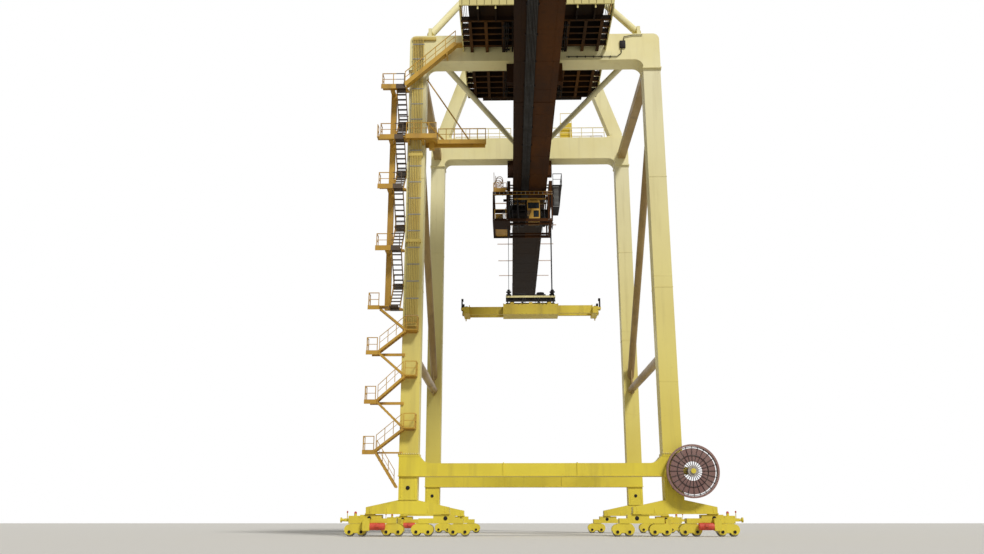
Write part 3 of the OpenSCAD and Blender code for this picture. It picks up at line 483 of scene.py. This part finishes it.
def window_frame(bm, low, high, face, plane, bars):
    """Frame bars round a window and its mullions; the plane is the axis that the window faces."""
    def bar(a, b, z0, z1):
        near, far = face - FRAME_DEPTH, face + FRAME_DEPTH
        if plane == "Y":
            block(bm, (a, near, z0), (b, far, z1), 0.8)
        else:
            block(bm, (near, a, z0), (far, b, z1), 0.8)
    for i in range(bars + 1):
        a = low[0] + (high[0] - low[0]) * i / bars
        bar(a - 1.5, a + 1.5, low[1] - 1, high[1] + 1)
    for z in (low[1], high[1]):
        bar(low[0] - 1, high[0] + 1, z - 1.5, z + 1.5)


# Filled by the finishes operator, before any piece is made
MATERIALS = {}


def make_piece(name, bm, body, finish, smooth=True):
    """Turns a bmesh drawn in mm into a piece; it rides on a body where one is named."""
    bmesh.ops.recalc_face_normals(bm, faces=bm.faces)
    bmesh.ops.scale(bm, vec=(MM, MM, MM), verts=bm.verts)
    mesh = bpy.data.meshes.new(name)
    bm.to_mesh(mesh)
    bm.free()
    if smooth:
        mesh.shade_smooth()
        mesh.set_sharp_from_angle(angle=math.radians(35))
    piece = bpy.data.objects.new(name, mesh)
    bpy.context.scene.collection.objects.link(piece)
    mesh.materials.append(MATERIALS[finish])
    if body:
        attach(piece, body)
    return piece


class CraneSettings(bpy.types.PropertyGroup):
    """Sizes that a user would change."""
    rope: bpy.props.FloatProperty(
        name="Rope diameter", description="Diameter of each fall of hoist rope",
        default=0.0046, unit="LENGTH")
    bolt: bpy.props.FloatProperty(
        name="Bolt size", description="Size of a flange bolt, a little wider than its head",
        default=0.007, unit="LENGTH")
    hose: bpy.props.FloatProperty(
        name="Hose diameter", description="Diameter of the trolley's hoses",
        default=0.0044, unit="LENGTH")


class CRANE_OT_finishes(bpy.types.Operator):
    """Give every CAD node its finish"""
    bl_idname = "crane.finishes"
    bl_label = "Finishes"

    def execute(self, context):
        MATERIALS.update(build_materials())
        for key, names in NODE_FINISH.items():
            for name in names.split():
                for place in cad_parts[name].material_slots:
                    place.material = MATERIALS[key]
        return {"FINISHED"}


class CRANE_OT_hoist_ropes(bpy.types.Operator):
    """Hang the hoist rope falls between the trolley and the headblock sheaves"""
    bl_idname = "crane.hoist_ropes"
    bl_label = "Hoist ropes"

    def execute(self, context):
        radius = context.scene.crane.rope / 2 / MM
        top, bottom = 2749.7, SHEAVE_Z
        bm = bmesh.new()
        for sx in BOTH:
            for y in (-78, -22, 22, 78):
                cone(bm, radius, top - bottom, at(sx * SHEAVE_X, TROLLEY + y, bottom), 10)
        piece = make_piece("hoist_rope_falls", bm, None, "rope")
        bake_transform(piece)
        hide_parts("hoist_ropes")
        return {"FINISHED"}


class CRANE_OT_flange_bolts(bpy.types.Operator):
    """Set hexagon bolts round the leg flanges and the pylon feet"""
    bl_idname = "crane.flange_bolts"
    bl_label = "Flange bolts"

    def execute(self, context):
        size = context.scene.crane.bolt / MM
        foot_flange, head_flange, pylon_flange = 514, 3261, 3554
        bm = bmesh.new()
        for sx, y in CORNERS:
            x = sx * LEG
            for z, up in ((foot_flange, 1), (head_flange, -1)):
                for i in range(9):
                    for s in BOTH:
                        front = aimed(x - 60 + i * 15, y + s * 68.5, z, (0, 0, up))
                        side = aimed(x + s * 65.2, y - 56 + i * 14, z, (0, 0, up))
                        hexbolt(bm, front, size)
                        hexbolt(bm, side, size * 0.6)
        make_piece("leg_flange_bolts", bm, "crane", "top", smooth=False)
        bm = bmesh.new()
        for sx in BOTH:
            for x in (730, 752, 888, 899):
                for y in (-62, -32, 0, 32, 62):
                    hexbolt(bm, at(sx * x, WATER + y, pylon_flange), size)
        make_piece("pylon_foot_bolts", bm, "crane", "top", smooth=False)
        return {"FINISHED"}


class CRANE_OT_weld_seams(bpy.types.Operator):
    """Run the raised weld beads round the legs, the crossbeams, the girder and the boom"""
    bl_idname = "crane.weld_seams"
    bl_label = "Weld seams"

    def execute(self, context):
        bm = bmesh.new()
        for sx, y in CORNERS:
            x = sx * LEG
            for z in (980, 1700, 2420):
                for s in BOTH:
                    slab(bm, (x, y + s * 60.4, z), (125.4, 1, 4), 0.4)
                    slab(bm, (x + s * 62.4, y, z), (1, 121.4, 4), 0.4)
        make_piece("leg_weld_beads", bm, "crane", "leg")
        bm = bmesh.new()
        for x in (-560, -220, 220, 560):
            for y in (LAND, WATER):
                for s in BOTH:
                    slab(bm, (x, y + s * 75.3, 3435), (4, 1, 202), 0.4)
                block(bm, (x - 2, y - 72, 3329.4), (x + 2, y + 72, 3330.3), 0.4)
        make_piece("crossbeam_weld_beads", bm, "crane", "top")
        for name, body, finish, slot, places, spans, first, last in (
                ("girder_weld_beads", "crane", "girder", "girder_brown",
                 range(-3600, 0, 400), ((-150, -86), (0, 150)), -3880, 40),
                ("boom_weld_beads", "boom", "boom", "boom_grey",
                 range(400, 3880, 400), ((-150, 150),), 75, 3880)):
            bm = bmesh.new()
            for y in places:
                for left, right in spans:
                    block(bm, (left, y - 3, SEAM_LOW), (right, y + 3, SEAM_HIGH), 0.5)
            for x in (-110, 110):
                block(bm, (x - 3, first, SEAM_LOW), (x + 3, last, SEAM_HIGH), 0.5)
            make_piece(name, bm, body, finish)
        return {"FINISHED"}


class CRANE_OT_travel_gear(bpy.types.Operator):
    """Dress the bogies, motors, equalizers and wheels"""
    bl_idname = "crane.travel_gear"
    bl_label = "Travel gear fittings"

    def execute(self, context):
        bm = bmesh.new()
        for x, y in WHEELS:
            for s in BOTH:
                face = aimed(x, y + s * 40, AXLE_Z, (0, s, 0))
                lathe(bm, face, [(0.5, 0), (9.5, 0), (9.5, 2.4), (7.6, 4), (0.5, 4)], 20)
                bolt_circle(bm, face, 4, 7, 2.4, 2.4, start=45)
        make_piece("axle_caps", bm, "crane", "dark")
        bm = bmesh.new()
        for x, y in WHEELS:
            for s in BOTH:
                lathe(bm, aimed(x, y + s * 17, AXLE_Z, (0, s, 0)),
                      [(20, 0), (28.6, 0), (27.4, 2.6), (20, 1.6)], 28)
        make_piece("wheel_rims", bm, "crane", "rail")
        bm = bmesh.new()
        for sx, y in CORNERS:
            x = sx * MOTOR_X
            for i in range(11):
                lathe(bm, aimed(x + sx * (10 + i * 6), y + MOTOR_Y, MOTOR_Z, (sx, 0, 0)),
                      [(20, 0), (23.2, 0), (23.2, 1.6), (20, 1.6)], 28)
            lathe(bm, aimed(x - sx * 7, y + MOTOR_Y, MOTOR_Z, (sx, 0, 0)),
                  [(2, 0), (17, 0), (21, 3), (21, 7), (2, 7)], 28)
            slab(bm, (x + sx * 40, y - 87, 67), (24, 10, 18), 1.5)
        make_piece("motor_fins", bm, "crane", "red")
        bm = bmesh.new()
        for sx, y in CORNERS:
            for z in (44, 104):
                for dx in (240, 273):
                    hexbolt(bm, aimed(sx * (LEG + dx), y - 84, z, (0, -1, 0)), 4)
            for dx in (309, 370):
                for z in (87, 121):
                    for s in BOTH:
                        hexbolt(bm, aimed(sx * (LEG + dx), y + s * 38, z, (0, s, 0)), 4.4)
            for s in BOTH:
                for k in (-240, 240, -130, 130):
                    x, face = sx * LEG + k, y + s * 48
                    block(bm, (x - 3, face - 2, 146), (x + 3, face + 3, 178), 0.8)
                for k in (-45, 45):
                    x, face = sx * LEG + k, y + s * 55
                    block(bm, (x - 3, face - 2, 240), (x + 3, face + 6, 366), 0.8)
        make_piece("equalizer_ribs_and_bolts", bm, "crane", "low")
        bm = bmesh.new()
        for sx, y in CORNERS:
            for k, reach, z in ((-243, 39, 112), (243, 39, 112), (0, 55, 300)):
                for s in BOTH:
                    face = aimed(sx * LEG + k, y + s * reach, z, (0, s, 0))
                    lathe(bm, face, [(0.5, 0), (13, 0), (13, 3), (9, 5), (0.5, 5)], 28)
                    bolt_circle(bm, face, 6, 10.4, 2.6, 2.4)
        make_piece("equalizer_pin_caps", bm, "crane", "dark")
        bm = bmesh.new()
        for sx, y in CORNERS:
            lathe(bm, at(sx * (LEG + 338), y, 142),
                  [(0.3, 0), (9, 0), (9, 3), (7.8, 9), (4.5, 12.5), (0.3, 13.5)], 24)
            lathe(bm, at(sx * (LEG + 390), y, 146),
                  [(0.3, 0), (4, 0), (5, 3), (5, 9), (2, 12), (0.3, 12)], 20)
        make_piece("travel_beacons", bm, "crane", "lens")
        return {"FINISHED"}


class CRANE_OT_cable_reel(bpy.types.Operator):
    """Wind the supply cable on the reel and bolt its rim"""
    bl_idname = "crane.cable_reel"
    bl_label = "Cable reel fittings"

    def execute(self, context):
        rim_face, hoops, cable, hub_face = -2424, -2415, -2408.7, -2428
        bm = bmesh.new()
        for i in range(15):
            torus(bm, aimed(REEL_X, cable, REEL_Z, (0, 1, 0)), 65 + i * 5.25, 2.6, 72)
        make_piece("reel_cable_turns", bm, "reel", "cord")
        bm = bmesh.new()
        for y, count, radius in ((rim_face, 24, 161), (hub_face, 8, 25)):
            bolt_circle(bm, aimed(REEL_X, y, REEL_Z, (0, -1, 0)), count, radius, 0, 4, start=7.5)
        for radius, steps in ((150, 64), (98, 48)):
            torus(bm, aimed(REEL_X, hoops, REEL_Z, (0, 1, 0)), radius, 2.2, steps)
        make_piece("reel_hoops_and_bolts", bm, "reel", "reel")
        return {"FINISHED"}


class CRANE_OT_girder_gear(bpy.types.Operator):
    """Clip the trolley rails down and hang the trough's cables"""
    bl_idname = "crane.girder_gear"
    bl_label = "Girder and boom fittings"

    def execute(self, context):
        for name, body, first, last in (("girder_rail_clips", "crane", -3850, 40),
                                        ("boom_rail_clips", "boom", 90, 3860)):
            bm = bmesh.new()
            for y in range(first, last, 60):
                for sx in BOTH:
                    for x in (132.5, 147.5):
                        slab(bm, (sx * x, y, 3091), (4, 8, 4), 0.8)
            make_piece(name, bm, body, "dark", smooth=False)
        hanger, pitch = 3066.5, 340
        bm = bmesh.new()
        for i, x in enumerate((-70, -61, -52, -44, -34, -25, -16)):
            for y in range(-3840, 0, pitch):
                ends = (x, y + 4, hanger), (x, y + 4 + pitch, hanger)
                tube(bm, sagging(*ends, 5 + 2 * (i % 3), 6), 2.1, 6)
        make_piece("trough_cables", bm, "crane", "rubber")
        return {"FINISHED"}


class CRANE_OT_platform_gear(bpy.types.Operator):
    """Add the flanges of the platform joists, the pipes below them and the fascia posts"""
    bl_idname = "crane.platform_gear"
    bl_label = "Platform fittings"

    def execute(self, context):
        bm = bmesh.new()
        for x in (-455, -345, -225, 225, 345, 455):
            for y0, y1 in ((LAND - 484, LAND - 76), (LAND + 76, LAND + 648)):
                block(bm, (x - 11, y0, 3397.5), (x + 11, y1, 3400.5), 0.8)
        for y in (-482, -396, -316, -236, -156, 114, 204, 294, 384, 474, 564, 644):
            slab(bm, (0, LAND + y, 3404), (1032, 18, 3), 0.8)
        for x in range(-500, 501, 50):
            block(bm, (x - 1.5, LAND - 651.5, 3427), (x + 1.5, LAND - 649, 3486), 0.6)
        make_piece("platform_joist_flanges", bm, "crane", "joist", smooth=False)
        pipe_z = 3392
        bm = bmesh.new()
        for sx in BOTH:
            for k, x in enumerate((190, 204, 218)):
                tube(bm, [(sx * x, LAND - 480, pipe_z), (sx * x, LAND - 300, pipe_z - k),
                          (sx * (x + 12), LAND - 90, pipe_z)], 3)
                tube(bm, [(sx * x, LAND + 90, pipe_z), (sx * (x + 16), LAND + 620, pipe_z)], 3)
            for y in (-440, -280, -120, 160, 340, 520):
                slab(bm, (sx * 205, LAND + y, 3392.8), (52, 8, 9.6), 1)
        make_piece("platform_pipes", bm, "crane", "dark")
        return {"FINISHED"}


class CRANE_OT_machinery_house(bpy.types.Operator):
    """Sheet the machinery house with ribs and fit its louvres, door handle and roof cowls"""
    bl_idname = "crane.machinery_house"
    bl_label = "Machinery house fittings"

    def execute(self, context):
        bm = bmesh.new()
        for x in range(-388, 392, 16):
            for y, s in ((LAND - 430, -1), (LAND + 600, 1)):
                slab(bm, (x, y + s * 0.5, WALL_MIDDLE), (6, 3, WALL_HEIGHT), 0.9)
        for y in range(LAND - 420, LAND + 600, 17):
            for sx in BOTH:
                slab(bm, (sx * 401, y, WALL_MIDDLE), (3.2, 6, WALL_HEIGHT), 0.9)
        make_piece("house_cladding_ribs", bm, "crane", "house", smooth=False)
        lowest, pitch = 3808, 10
        bm = bmesh.new()
        for y in (-300, -100, 300):
            for sx in BOTH:
                for i in range(9):
                    slab(bm, (sx * 409, LAND + y + 60, lowest + i * pitch), (5, 108, 4), 0.9)
        for x in (-180, 100):
            for i in range(7):
                slab(bm, (x + 40, LAND - 445, lowest + i * pitch), (70, 4, 4), 0.9)
        grip = LAND + 192
        tube(bm, [(412, grip, 3660), (420, grip, 3662), (420, grip, 3690), (412, grip, 3692)], 1.8)
        for z in (3600, 3675, 3750):
            cone(bm, 3, 16, at(412, LAND + 122, z - 8), 12)
        make_piece("house_louvres_and_handle", bm, "crane", "zinc", smooth=False)
        bm = bmesh.new()
        for y in (-300, 0, 300):
            for x in (-180, 0, 180):
                lathe(bm, at(x, LAND + y, 4059),
                      [(3, 0), (26, 0), (26, 14), (32, 14), (30, 20), (12, 27), (3, 28)], 28)
        for x in range(-410, 411, 82):
            slab(bm, (x, LAND + 85, 4027), (4, 1080, 4), 0.8)
        make_piece("house_roof_cowls", bm, "crane", "zinc")
        return {"FINISHED"}


class CRANE_OT_trolley_gear(bpy.types.Operator):
    """Fit the trolley's window frames, wipers, louvres, hoses, drums, handrail and drives"""
    bl_idname = "crane.trolley_gear"
    bl_label = "Trolley fittings"

    def execute(self, context):
        hose = context.scene.crane.hose / 2 / MM
        bm = bmesh.new()
        window_frame(bm, (34, 2790), (80, 2850), -492, "Y", 2)
        window_frame(bm, (-16, 2886), (84, 2940), -458, "Y", 3)
        window_frame(bm, (-463, 2794), (-323, 2846), 91, "X", 3)
        for x in (-23, 91):
            window_frame(bm, (-437, 2890), (-313, 2936), x, "X", 3)
        make_piece("cab_window_frames", bm, "trolley", "dark")
        bm = bmesh.new()
        tube(bm, [(46, -495, 2786), (49, -499, 2798), (58, -497, 2826)], 1.2)
        tube(bm, [(52, -497, 2808), (64, -497, 2844)], 1.4)
        for x in (6, 56):
            tube(bm, [(x, -461, 2882), (x + 3, -465, 2894), (x + 13, -463, 2914)], 1.2)
            tube(bm, [(x + 6, -463, 2898), (x + 19, -463, 2934)], 1.4)
        make_piece("cab_wipers", bm, "trolley", "rubber")
        bm = bmesh.new()
        for i in range(14):
            z = 2904 + i * 12
            x = 272 + (z - 2880) * 24 / 218
            for k in (-232, -158, -84):
                block(bm, (x - 2, TROLLEY + k, z), (x + 2.5, TROLLEY + k + 54, z + 4), 0.9)
            block(bm, (222, FRONT + 7.5, z), (266, FRONT + 11, z + 4), 0.9)
        for z in (2890, 3082):
            block(bm, (214, FRONT + 7.5, z), (270, FRONT + 11, z + 5), 0.9)
        tube(bm, [(218, FRONT + 10, 2984), (218, FRONT + 4, 2986),
                  (218, FRONT + 4, 3004), (218, FRONT + 10, 3006)], 1.4)
        make_piece("cabinet_louvres", bm, "trolley", "zinc")
        bm = bmesh.new()
        for x in (-200, -176, -120, 120, 186):
            for y in (FRONT + 10, BACK - 10):
                tube(bm, sagging((x, y, 3006), (x + 18, y, 2772), 0, 8), hose)
        for i in range(6):
            tube(bm, sagging((-300 + i * 11, FRONT + 12 + i * 3, 2776),
                             (-176 + i * 9, FRONT + 60, 2990), 22), hose)
            tube(bm, sagging((30 + i * 9, FRONT + 70 + i * 12, 2996),
                             (150 + i * 5, FRONT + 110, 2776), 26), hose)
        make_piece("trolley_hoses", bm, "trolley", "rubber")
        bm = bmesh.new()
        for turn in range(6):
            centre = (-296 + 7 * (turn % 3), TROLLEY - 220 + turn * 22, 3078 + turn * 27)
            torus(bm, aimed(*centre, (0.25, 1, 0.2)), 34 - 3 * (turn % 2), 3.2)
        row = TROLLEY - 150
        for x, top in ((-334, 3270), (-318, 3236), (-250, 3200)):
            tube(bm, [(x, row, 3036), (x + 3, row + 2, 3130), (x, row, top)], 3)
        for z in (3080, 3150):
            tube(bm, [(-336, row, z), (-240, row, z + 8)], 2.4)
        make_piece("trolley_cable_loops", bm, "trolley", "pale")
        sheave, motor = 2792, 2800
        bm = bmesh.new()
        for x in (-SHEAVE_X, SHEAVE_X):
            for y in (TROLLEY - 50, TROLLEY + 50):
                lathe(bm, aimed(x - 7, y, sheave, (1, 0, 0)),
                      [(5, 0), (28, 0), (28, 3), (24, 5), (24, 9), (28, 11), (28, 14), (5, 14)], 36)
                cone(bm, 6, 44, aimed(x - 22, y, sheave, (1, 0, 0)))
                for s in BOTH:
                    slab(bm, (x + s * 18, y, 2787), (6, 24, 34), 1.5)
        for x in (-130, -70, 70, 130):
            cone(bm, 22, 70, aimed(x, TROLLEY - 135, motor, (0, 1, 0)), 28)
            for i in range(9):
                lathe(bm, aimed(x, TROLLEY - 130 + i * 7, motor, (0, 1, 0)),
                      [(21, 0), (25, 0), (25, 2), (21, 2)], 24)
            slab(bm, (x, TROLLEY - 35, 2796.5), (32, 50, 51), 3)
        make_piece("trolley_sheaves_and_motors", bm, "trolley", "dark")
        bm = bmesh.new()
        for x in (-196, -112, -36):
            slab(bm, (x, FRONT + 135, 2875), (6, 150, 202), 2)
            slab(bm, (x, FRONT + 59, 2875), (16, 6, 202), 1)
        grooves = [(42 + i % 2 * 3, 11 + i * 4) for i in range(16)]
        for y, z in ((FRONT + 105, 2838), (FRONT + 165, 2920)):
            place = aimed(-192, y, z, (1, 0, 0))
            lathe(bm, place, [(6, 4), (46, 4), (46, 9), *grooves, (46, 75), (46, 79), (6, 79)], 36)
            lathe(bm, place, [(6, 84), (40, 84), (40, 88), (34, 90),
                              (34, 146), (40, 148), (40, 152), (6, 152)], 36)
            cone(bm, 7, 168, at(-4, 0, 0) @ place, 20)
        for z in (2790, 2874, 2960):
            slab(bm, (-116, FRONT + 66, z), (160, 8, 8), 1.2)
        block(bm, (100, FRONT + 120, 2776), (176, FRONT + 230, 2900), 3)
        block(bm, (104, FRONT + 116, 2786), (172, FRONT + 121, 2890), 1.5)
        make_piece("trolley_rope_drums", bm, "trolley", "dark")
        rail_low, rail_foot, rail_top = 3084, 3040, 3128
        bm = bmesh.new()
        for z in (3036, 3007):
            block(bm, (-343, FRONT - 1.5, z), (209, FRONT + 2, z + 3.5), 0.8)
        for x in (-336, -216):
            tube(bm, [(x, FRONT + 6, rail_foot), (x, FRONT + 6, rail_top),
                      (x, FRONT + 90, rail_top), (x, FRONT + 90, rail_foot)], 2.5)
        for z in (rail_low, rail_top):
            tube(bm, [(-336, FRONT + 6, z), (-216, FRONT + 6, z)], 2.2)
        make_piece("trolley_bar_edges_and_rail", bm, "trolley", "stair",
                   smooth=False)
        bm = bmesh.new()
        for sx, y in ((-1, -155), (-1, 155), (1, 155)):
            place = aimed(sx * 210.3, TROLLEY + y, 3104, (sx, 0, 0))
            lathe(bm, place, [(2, 0), (16, 0), (16, 5), (13, 6), (13, 34), (11, 38), (2, 38)], 28)
            bolt_circle(bm, place, 6, 14, 5, 3)
        for sx in BOTH:
            for y in (-190, -120, 120, 190):
                lathe(bm, aimed(sx * 152, TROLLEY + y, 3124.5, (sx, 0, 0)),
                      [(8, 0), (23, 0), (23, 2), (17, 1.4), (11, 2.6), (8, 2.6)], 28)
        make_piece("trolley_travel_drives", bm, "trolley", "dark")
        bm = bmesh.new()
        for x in (-334, -211, 173, 203):
            for y, s in ((FRONT, -1), (BACK, 1)):
                for z in (2763, 3014, 3032):
                    for k in (-5, 5):
                        hexbolt(bm, aimed(x + k, y, z, (0, s, 0)), 4)
        for x in range(-320, 200, 40):
            block(bm, (x - 2, FRONT - 0.6, 3010), (x + 2, FRONT + 1, 3036), 0.5)
        make_piece("trolley_bolts_and_ribs", bm, "trolley", "zinc", smooth=False)
        return {"FINISHED"}


class CRANE_OT_spreader_gear(bpy.types.Operator):
    """Dress the headblock and the spreader with sheave rims, hoses, boxes and bolts"""
    bl_idname = "crane.spreader_gear"
    bl_label = "Headblock and spreader fittings"

    def execute(self, context):
        bm = bmesh.new()
        for sx in BOTH:
            for y in (TROLLEY - 50, TROLLEY + 50):
                for s in BOTH:
                    lathe(bm, aimed(sx * SHEAVE_X + s * 20, y, SHEAVE_Z, (s, 0, 0)),
                          [(0.5, 0), (8, 0), (8, 2), (6, 4), (0.5, 4)], 24)
                    torus(bm, aimed(sx * SHEAVE_X + s * 7, y, SHEAVE_Z, (1, 0, 0)), 24, 1.5)
        make_piece("sheave_rims_and_caps", bm, "load_beam", "dark")
        bm = bmesh.new()
        block(bm, (-150, TROLLEY - 40, 2094), (-40, TROLLEY + 40, 2122), 3)
        block(bm, (44, TROLLEY - 46, 2094), (140, TROLLEY + 46, 2110), 3)
        for x in (-142, -95, -48):
            slab(bm, (x, TROLLEY, 2109), (3, 84, 30), 0.7)
        for i in range(7):
            torus(bm, at(92, TROLLEY, 2112 + i * 3), 34, 2)
        make_piece("headblock_baskets", bm, "load_beam", "dark")
        strip = 2083
        bm = bmesh.new()
        for s in BOTH:
            slab(bm, (0, TROLLEY + s * 60, strip), (452, 2, 18), 0.5)
            for x in range(-210, 211, 30):
                hexbolt(bm, aimed(x, TROLLEY + s * 61, strip, (0, s, 0)), 4)
        make_piece("headblock_edge_strips", bm, "load_beam", "top", smooth=False)
        bm = bmesh.new()
        for x in (-62, -44, 44, 62, 80):
            for s in BOTH:
                tube(bm, sagging((x, TROLLEY + s * 62, 2068),
                                 (x * 1.8, TROLLEY + s * 103, 1996), 12), 2)
        make_piece("spreader_hoses", bm, "load_beam", "rubber")
        deck = 2009
        bm = bmesh.new()
        for s in BOTH:
            face = TROLLEY + s * 100
            for x in range(-240, 241, 40):
                for z in (1914, 2000):
                    hexbolt(bm, aimed(x, face, z, (0, s, 0)), 3.6)
            for x in (-200, -120, -40, 40, 120, 200):
                block(bm, (x - 2, face - 1, 1920), (x + 2, face + 3, 1994), 0.8)
            for x in (-170, 0, 170):
                slab(bm, (x, TROLLEY + s * 70, deck + 8.5), (32, 24, 17), 2)
        make_piece("spreader_ribs_and_bolts", bm, "load_beam", "spread",
                   smooth=False)
        bm = bmesh.new()
        for sx in BOTH:
            for y in (-32.4, 32.4):
                cone(bm, 7, 30, at(sx * 170, TROLLEY + y, 2040), 20)
            slab(bm, (sx * 110, TROLLEY, deck + 12.5), (44, 32, 25), 2)
            tube(bm, [(sx * 60, TROLLEY - 40, 2012), (sx * 100, TROLLEY - 44, 2014),
                      (sx * 146, TROLLEY - 44, 2012)], 2.4)
        make_piece("spreader_power_pack", bm, "load_beam", "dark")
        for sx, body, name in ((-1, "arm_left", "left"), (1, "arm_right", "right")):
            x = sx * 588
            bm = bmesh.new()
            for s in BOTH:
                y = TROLLEY + s * 60
                slab(bm, (x, y, 1981.5), (24, 32, 17), 2)
                for k in (-18, 18):
                    for z in (1922, 1966):
                        hexbolt(bm, aimed(sx * 612, y + k, z, (sx, 0, 0)), 4)
                tube(bm, [(x, y, 1988), (x, TROLLEY + s * 40, 1996),
                          (sx * 580, TROLLEY, 1998), (sx * 566, TROLLEY, 1990)], 1.8)
            make_piece(f"end_beam_actuators_{name}", bm, body, "dark")
        return {"FINISHED"}


class CRANE_OT_access_gear(bpy.types.Operator):
    """Clamp the conduits to the leg and wire the junction box on the crossbeam"""
    bl_idname = "crane.access_gear"
    bl_label = "Conduit fittings"

    def execute(self, context):
        bm = bmesh.new()
        for z in range(1420, 3480, 120):
            block(bm, (-891, LAND - 90, z), (-805, LAND - 87.4, z + 7), 0.8)
            for i in range(6):
                hexbolt(bm, aimed(-877 + i * 11.8, LAND - 90, z + 3.5, (0, -1, 0)), 2.6)
        make_piece("conduit_clamps", bm, "crane", "zinc", smooth=False)
        y = LAND - 82
        bm = bmesh.new()
        block(bm, (622, LAND - 88, 3420), (664, LAND - 75, 3478), 2)
        tube(bm, [(632, y, 3422), (632, y, 3380), (600, y, 3352), (230, y, 3352)], 3)
        tube(bm, [(654, y, 3476), (654, y, 3510), (720, y, 3524), (790, y, 3524)], 3)
        for x in range(250, 600, 60):
            block(bm, (x - 3, LAND - 86, 3346), (x + 3, LAND - 74.5, 3358), 1)
        make_piece("crossbeam_junction_box", bm, "crane", "dark")
        return {"FINISHED"}


def lay_floor(scene):
    """A wide pale floor under the wheels."""
    bm = bmesh.new()
    bmesh.ops.create_grid(bm, x_segments=1, y_segments=1, size=60)
    mesh = bpy.data.meshes.new("studio_floor")
    bm.to_mesh(mesh)
    bm.free()
    floor = bpy.data.objects.new("studio_floor", mesh)
    scene.collection.objects.link(floor)
    material = bpy.data.materials.new("studio_floor_paint")
    material.use_nodes = True
    shader = material.node_tree.nodes["Principled BSDF"]
    shader.inputs["Base Color"].default_value = tone("#d9d5cc")
    shader.inputs["Roughness"].default_value = 0.9
    mesh.materials.append(material)


def light_sky(scene):
    """A soft even sky that the camera, mirrors and glass see as white."""
    scene.world = world = bpy.data.worlds.new("studio")
    world.use_nodes = True
    tree = world.node_tree
    tree.nodes.clear()
    path = add(tree, "ShaderNodeLightPath")
    seen = either(tree, path.outputs["Is Camera Ray"], path.outputs["Is Glossy Ray"])
    seen = either(tree, seen, path.outputs["Is Transmission Ray"])
    glow, plain = (add(tree, "ShaderNodeBackground", {"Color": tone(code), "Strength": strength})
                   for code, strength in (("#e6e8ea", 0.30), ("#ffffff", 1.0)))
    both = add(tree, "ShaderNodeMixShader", None,
               {0: seen, 1: glow.outputs[0], 2: plain.outputs[0]})
    add(tree, "ShaderNodeOutputWorld", None, {"Surface": both.outputs[0]})


def place_sun(scene):
    """A key light from the front and the right, with soft-edged shadows."""
    key = bpy.data.lights.new("key_softbox", "SUN")
    key.energy = 2.5
    key.angle = math.radians(12)
    lamp = bpy.data.objects.new("key_softbox", key)
    lamp.rotation_euler = (math.radians(46), 0, math.radians(30))
    scene.collection.objects.link(lamp)


def place_camera(scene):
    """The photo's camera: near the ground, landside, looking up."""
    lens = bpy.data.cameras.new("view_from_quay")
    lens.lens = 32.14
    lens.sensor_width = 36.0
    lens.clip_end = 200
    camera = bpy.data.objects.new("view_from_quay", lens)
    camera.location = (-0.19, -8.122, 0.0894)
    camera.rotation_euler = (math.radians(105.584), 0, math.radians(1.2))
    scene.collection.objects.link(camera)
    scene.camera = camera


class CRANE_OT_stage(bpy.types.Operator):
    """Set the floor, the light and the camera"""
    bl_idname = "crane.stage"
    bl_label = "Stage"

    def execute(self, context):
        scene = context.scene
        lay_floor(scene)
        light_sky(scene)
        place_sun(scene)
        place_camera(scene)
        scene.view_settings.view_transform = "Standard"
        return {"FINISHED"}


OPERATORS = (CRANE_OT_finishes, CRANE_OT_hoist_ropes, CRANE_OT_flange_bolts,
             CRANE_OT_weld_seams, CRANE_OT_travel_gear, CRANE_OT_cable_reel,
             CRANE_OT_girder_gear, CRANE_OT_platform_gear, CRANE_OT_machinery_house,
             CRANE_OT_trolley_gear, CRANE_OT_spreader_gear, CRANE_OT_access_gear, CRANE_OT_stage)


class CRANE_PT_panel(bpy.types.Panel):
    """Shows the crane's settings and its operators"""
    bl_label = "Crane"
    bl_space_type = "VIEW_3D"
    bl_region_type = "UI"
    bl_category = "Crane"

    def draw(self, context):
        settings = context.scene.crane
        for name in settings.__annotations__:
            self.layout.prop(settings, name)
        for operator in OPERATORS:
            self.layout.operator(operator.bl_idname)


CLASSES = (CraneSettings, *OPERATORS, CRANE_PT_panel)


def register():
    for cls in CLASSES:
        bpy.utils.register_class(cls)
    bpy.types.Scene.crane = bpy.props.PointerProperty(type=CraneSettings)


def unregister():
    del bpy.types.Scene.crane
    for cls in reversed(CLASSES):
        bpy.utils.unregister_class(cls)


def main():
    register()
    for operator in OPERATORS:
        group, name = operator.bl_idname.split(".")
        getattr(getattr(bpy.ops, group), name)()


if __name__ == "__main__":
    main()
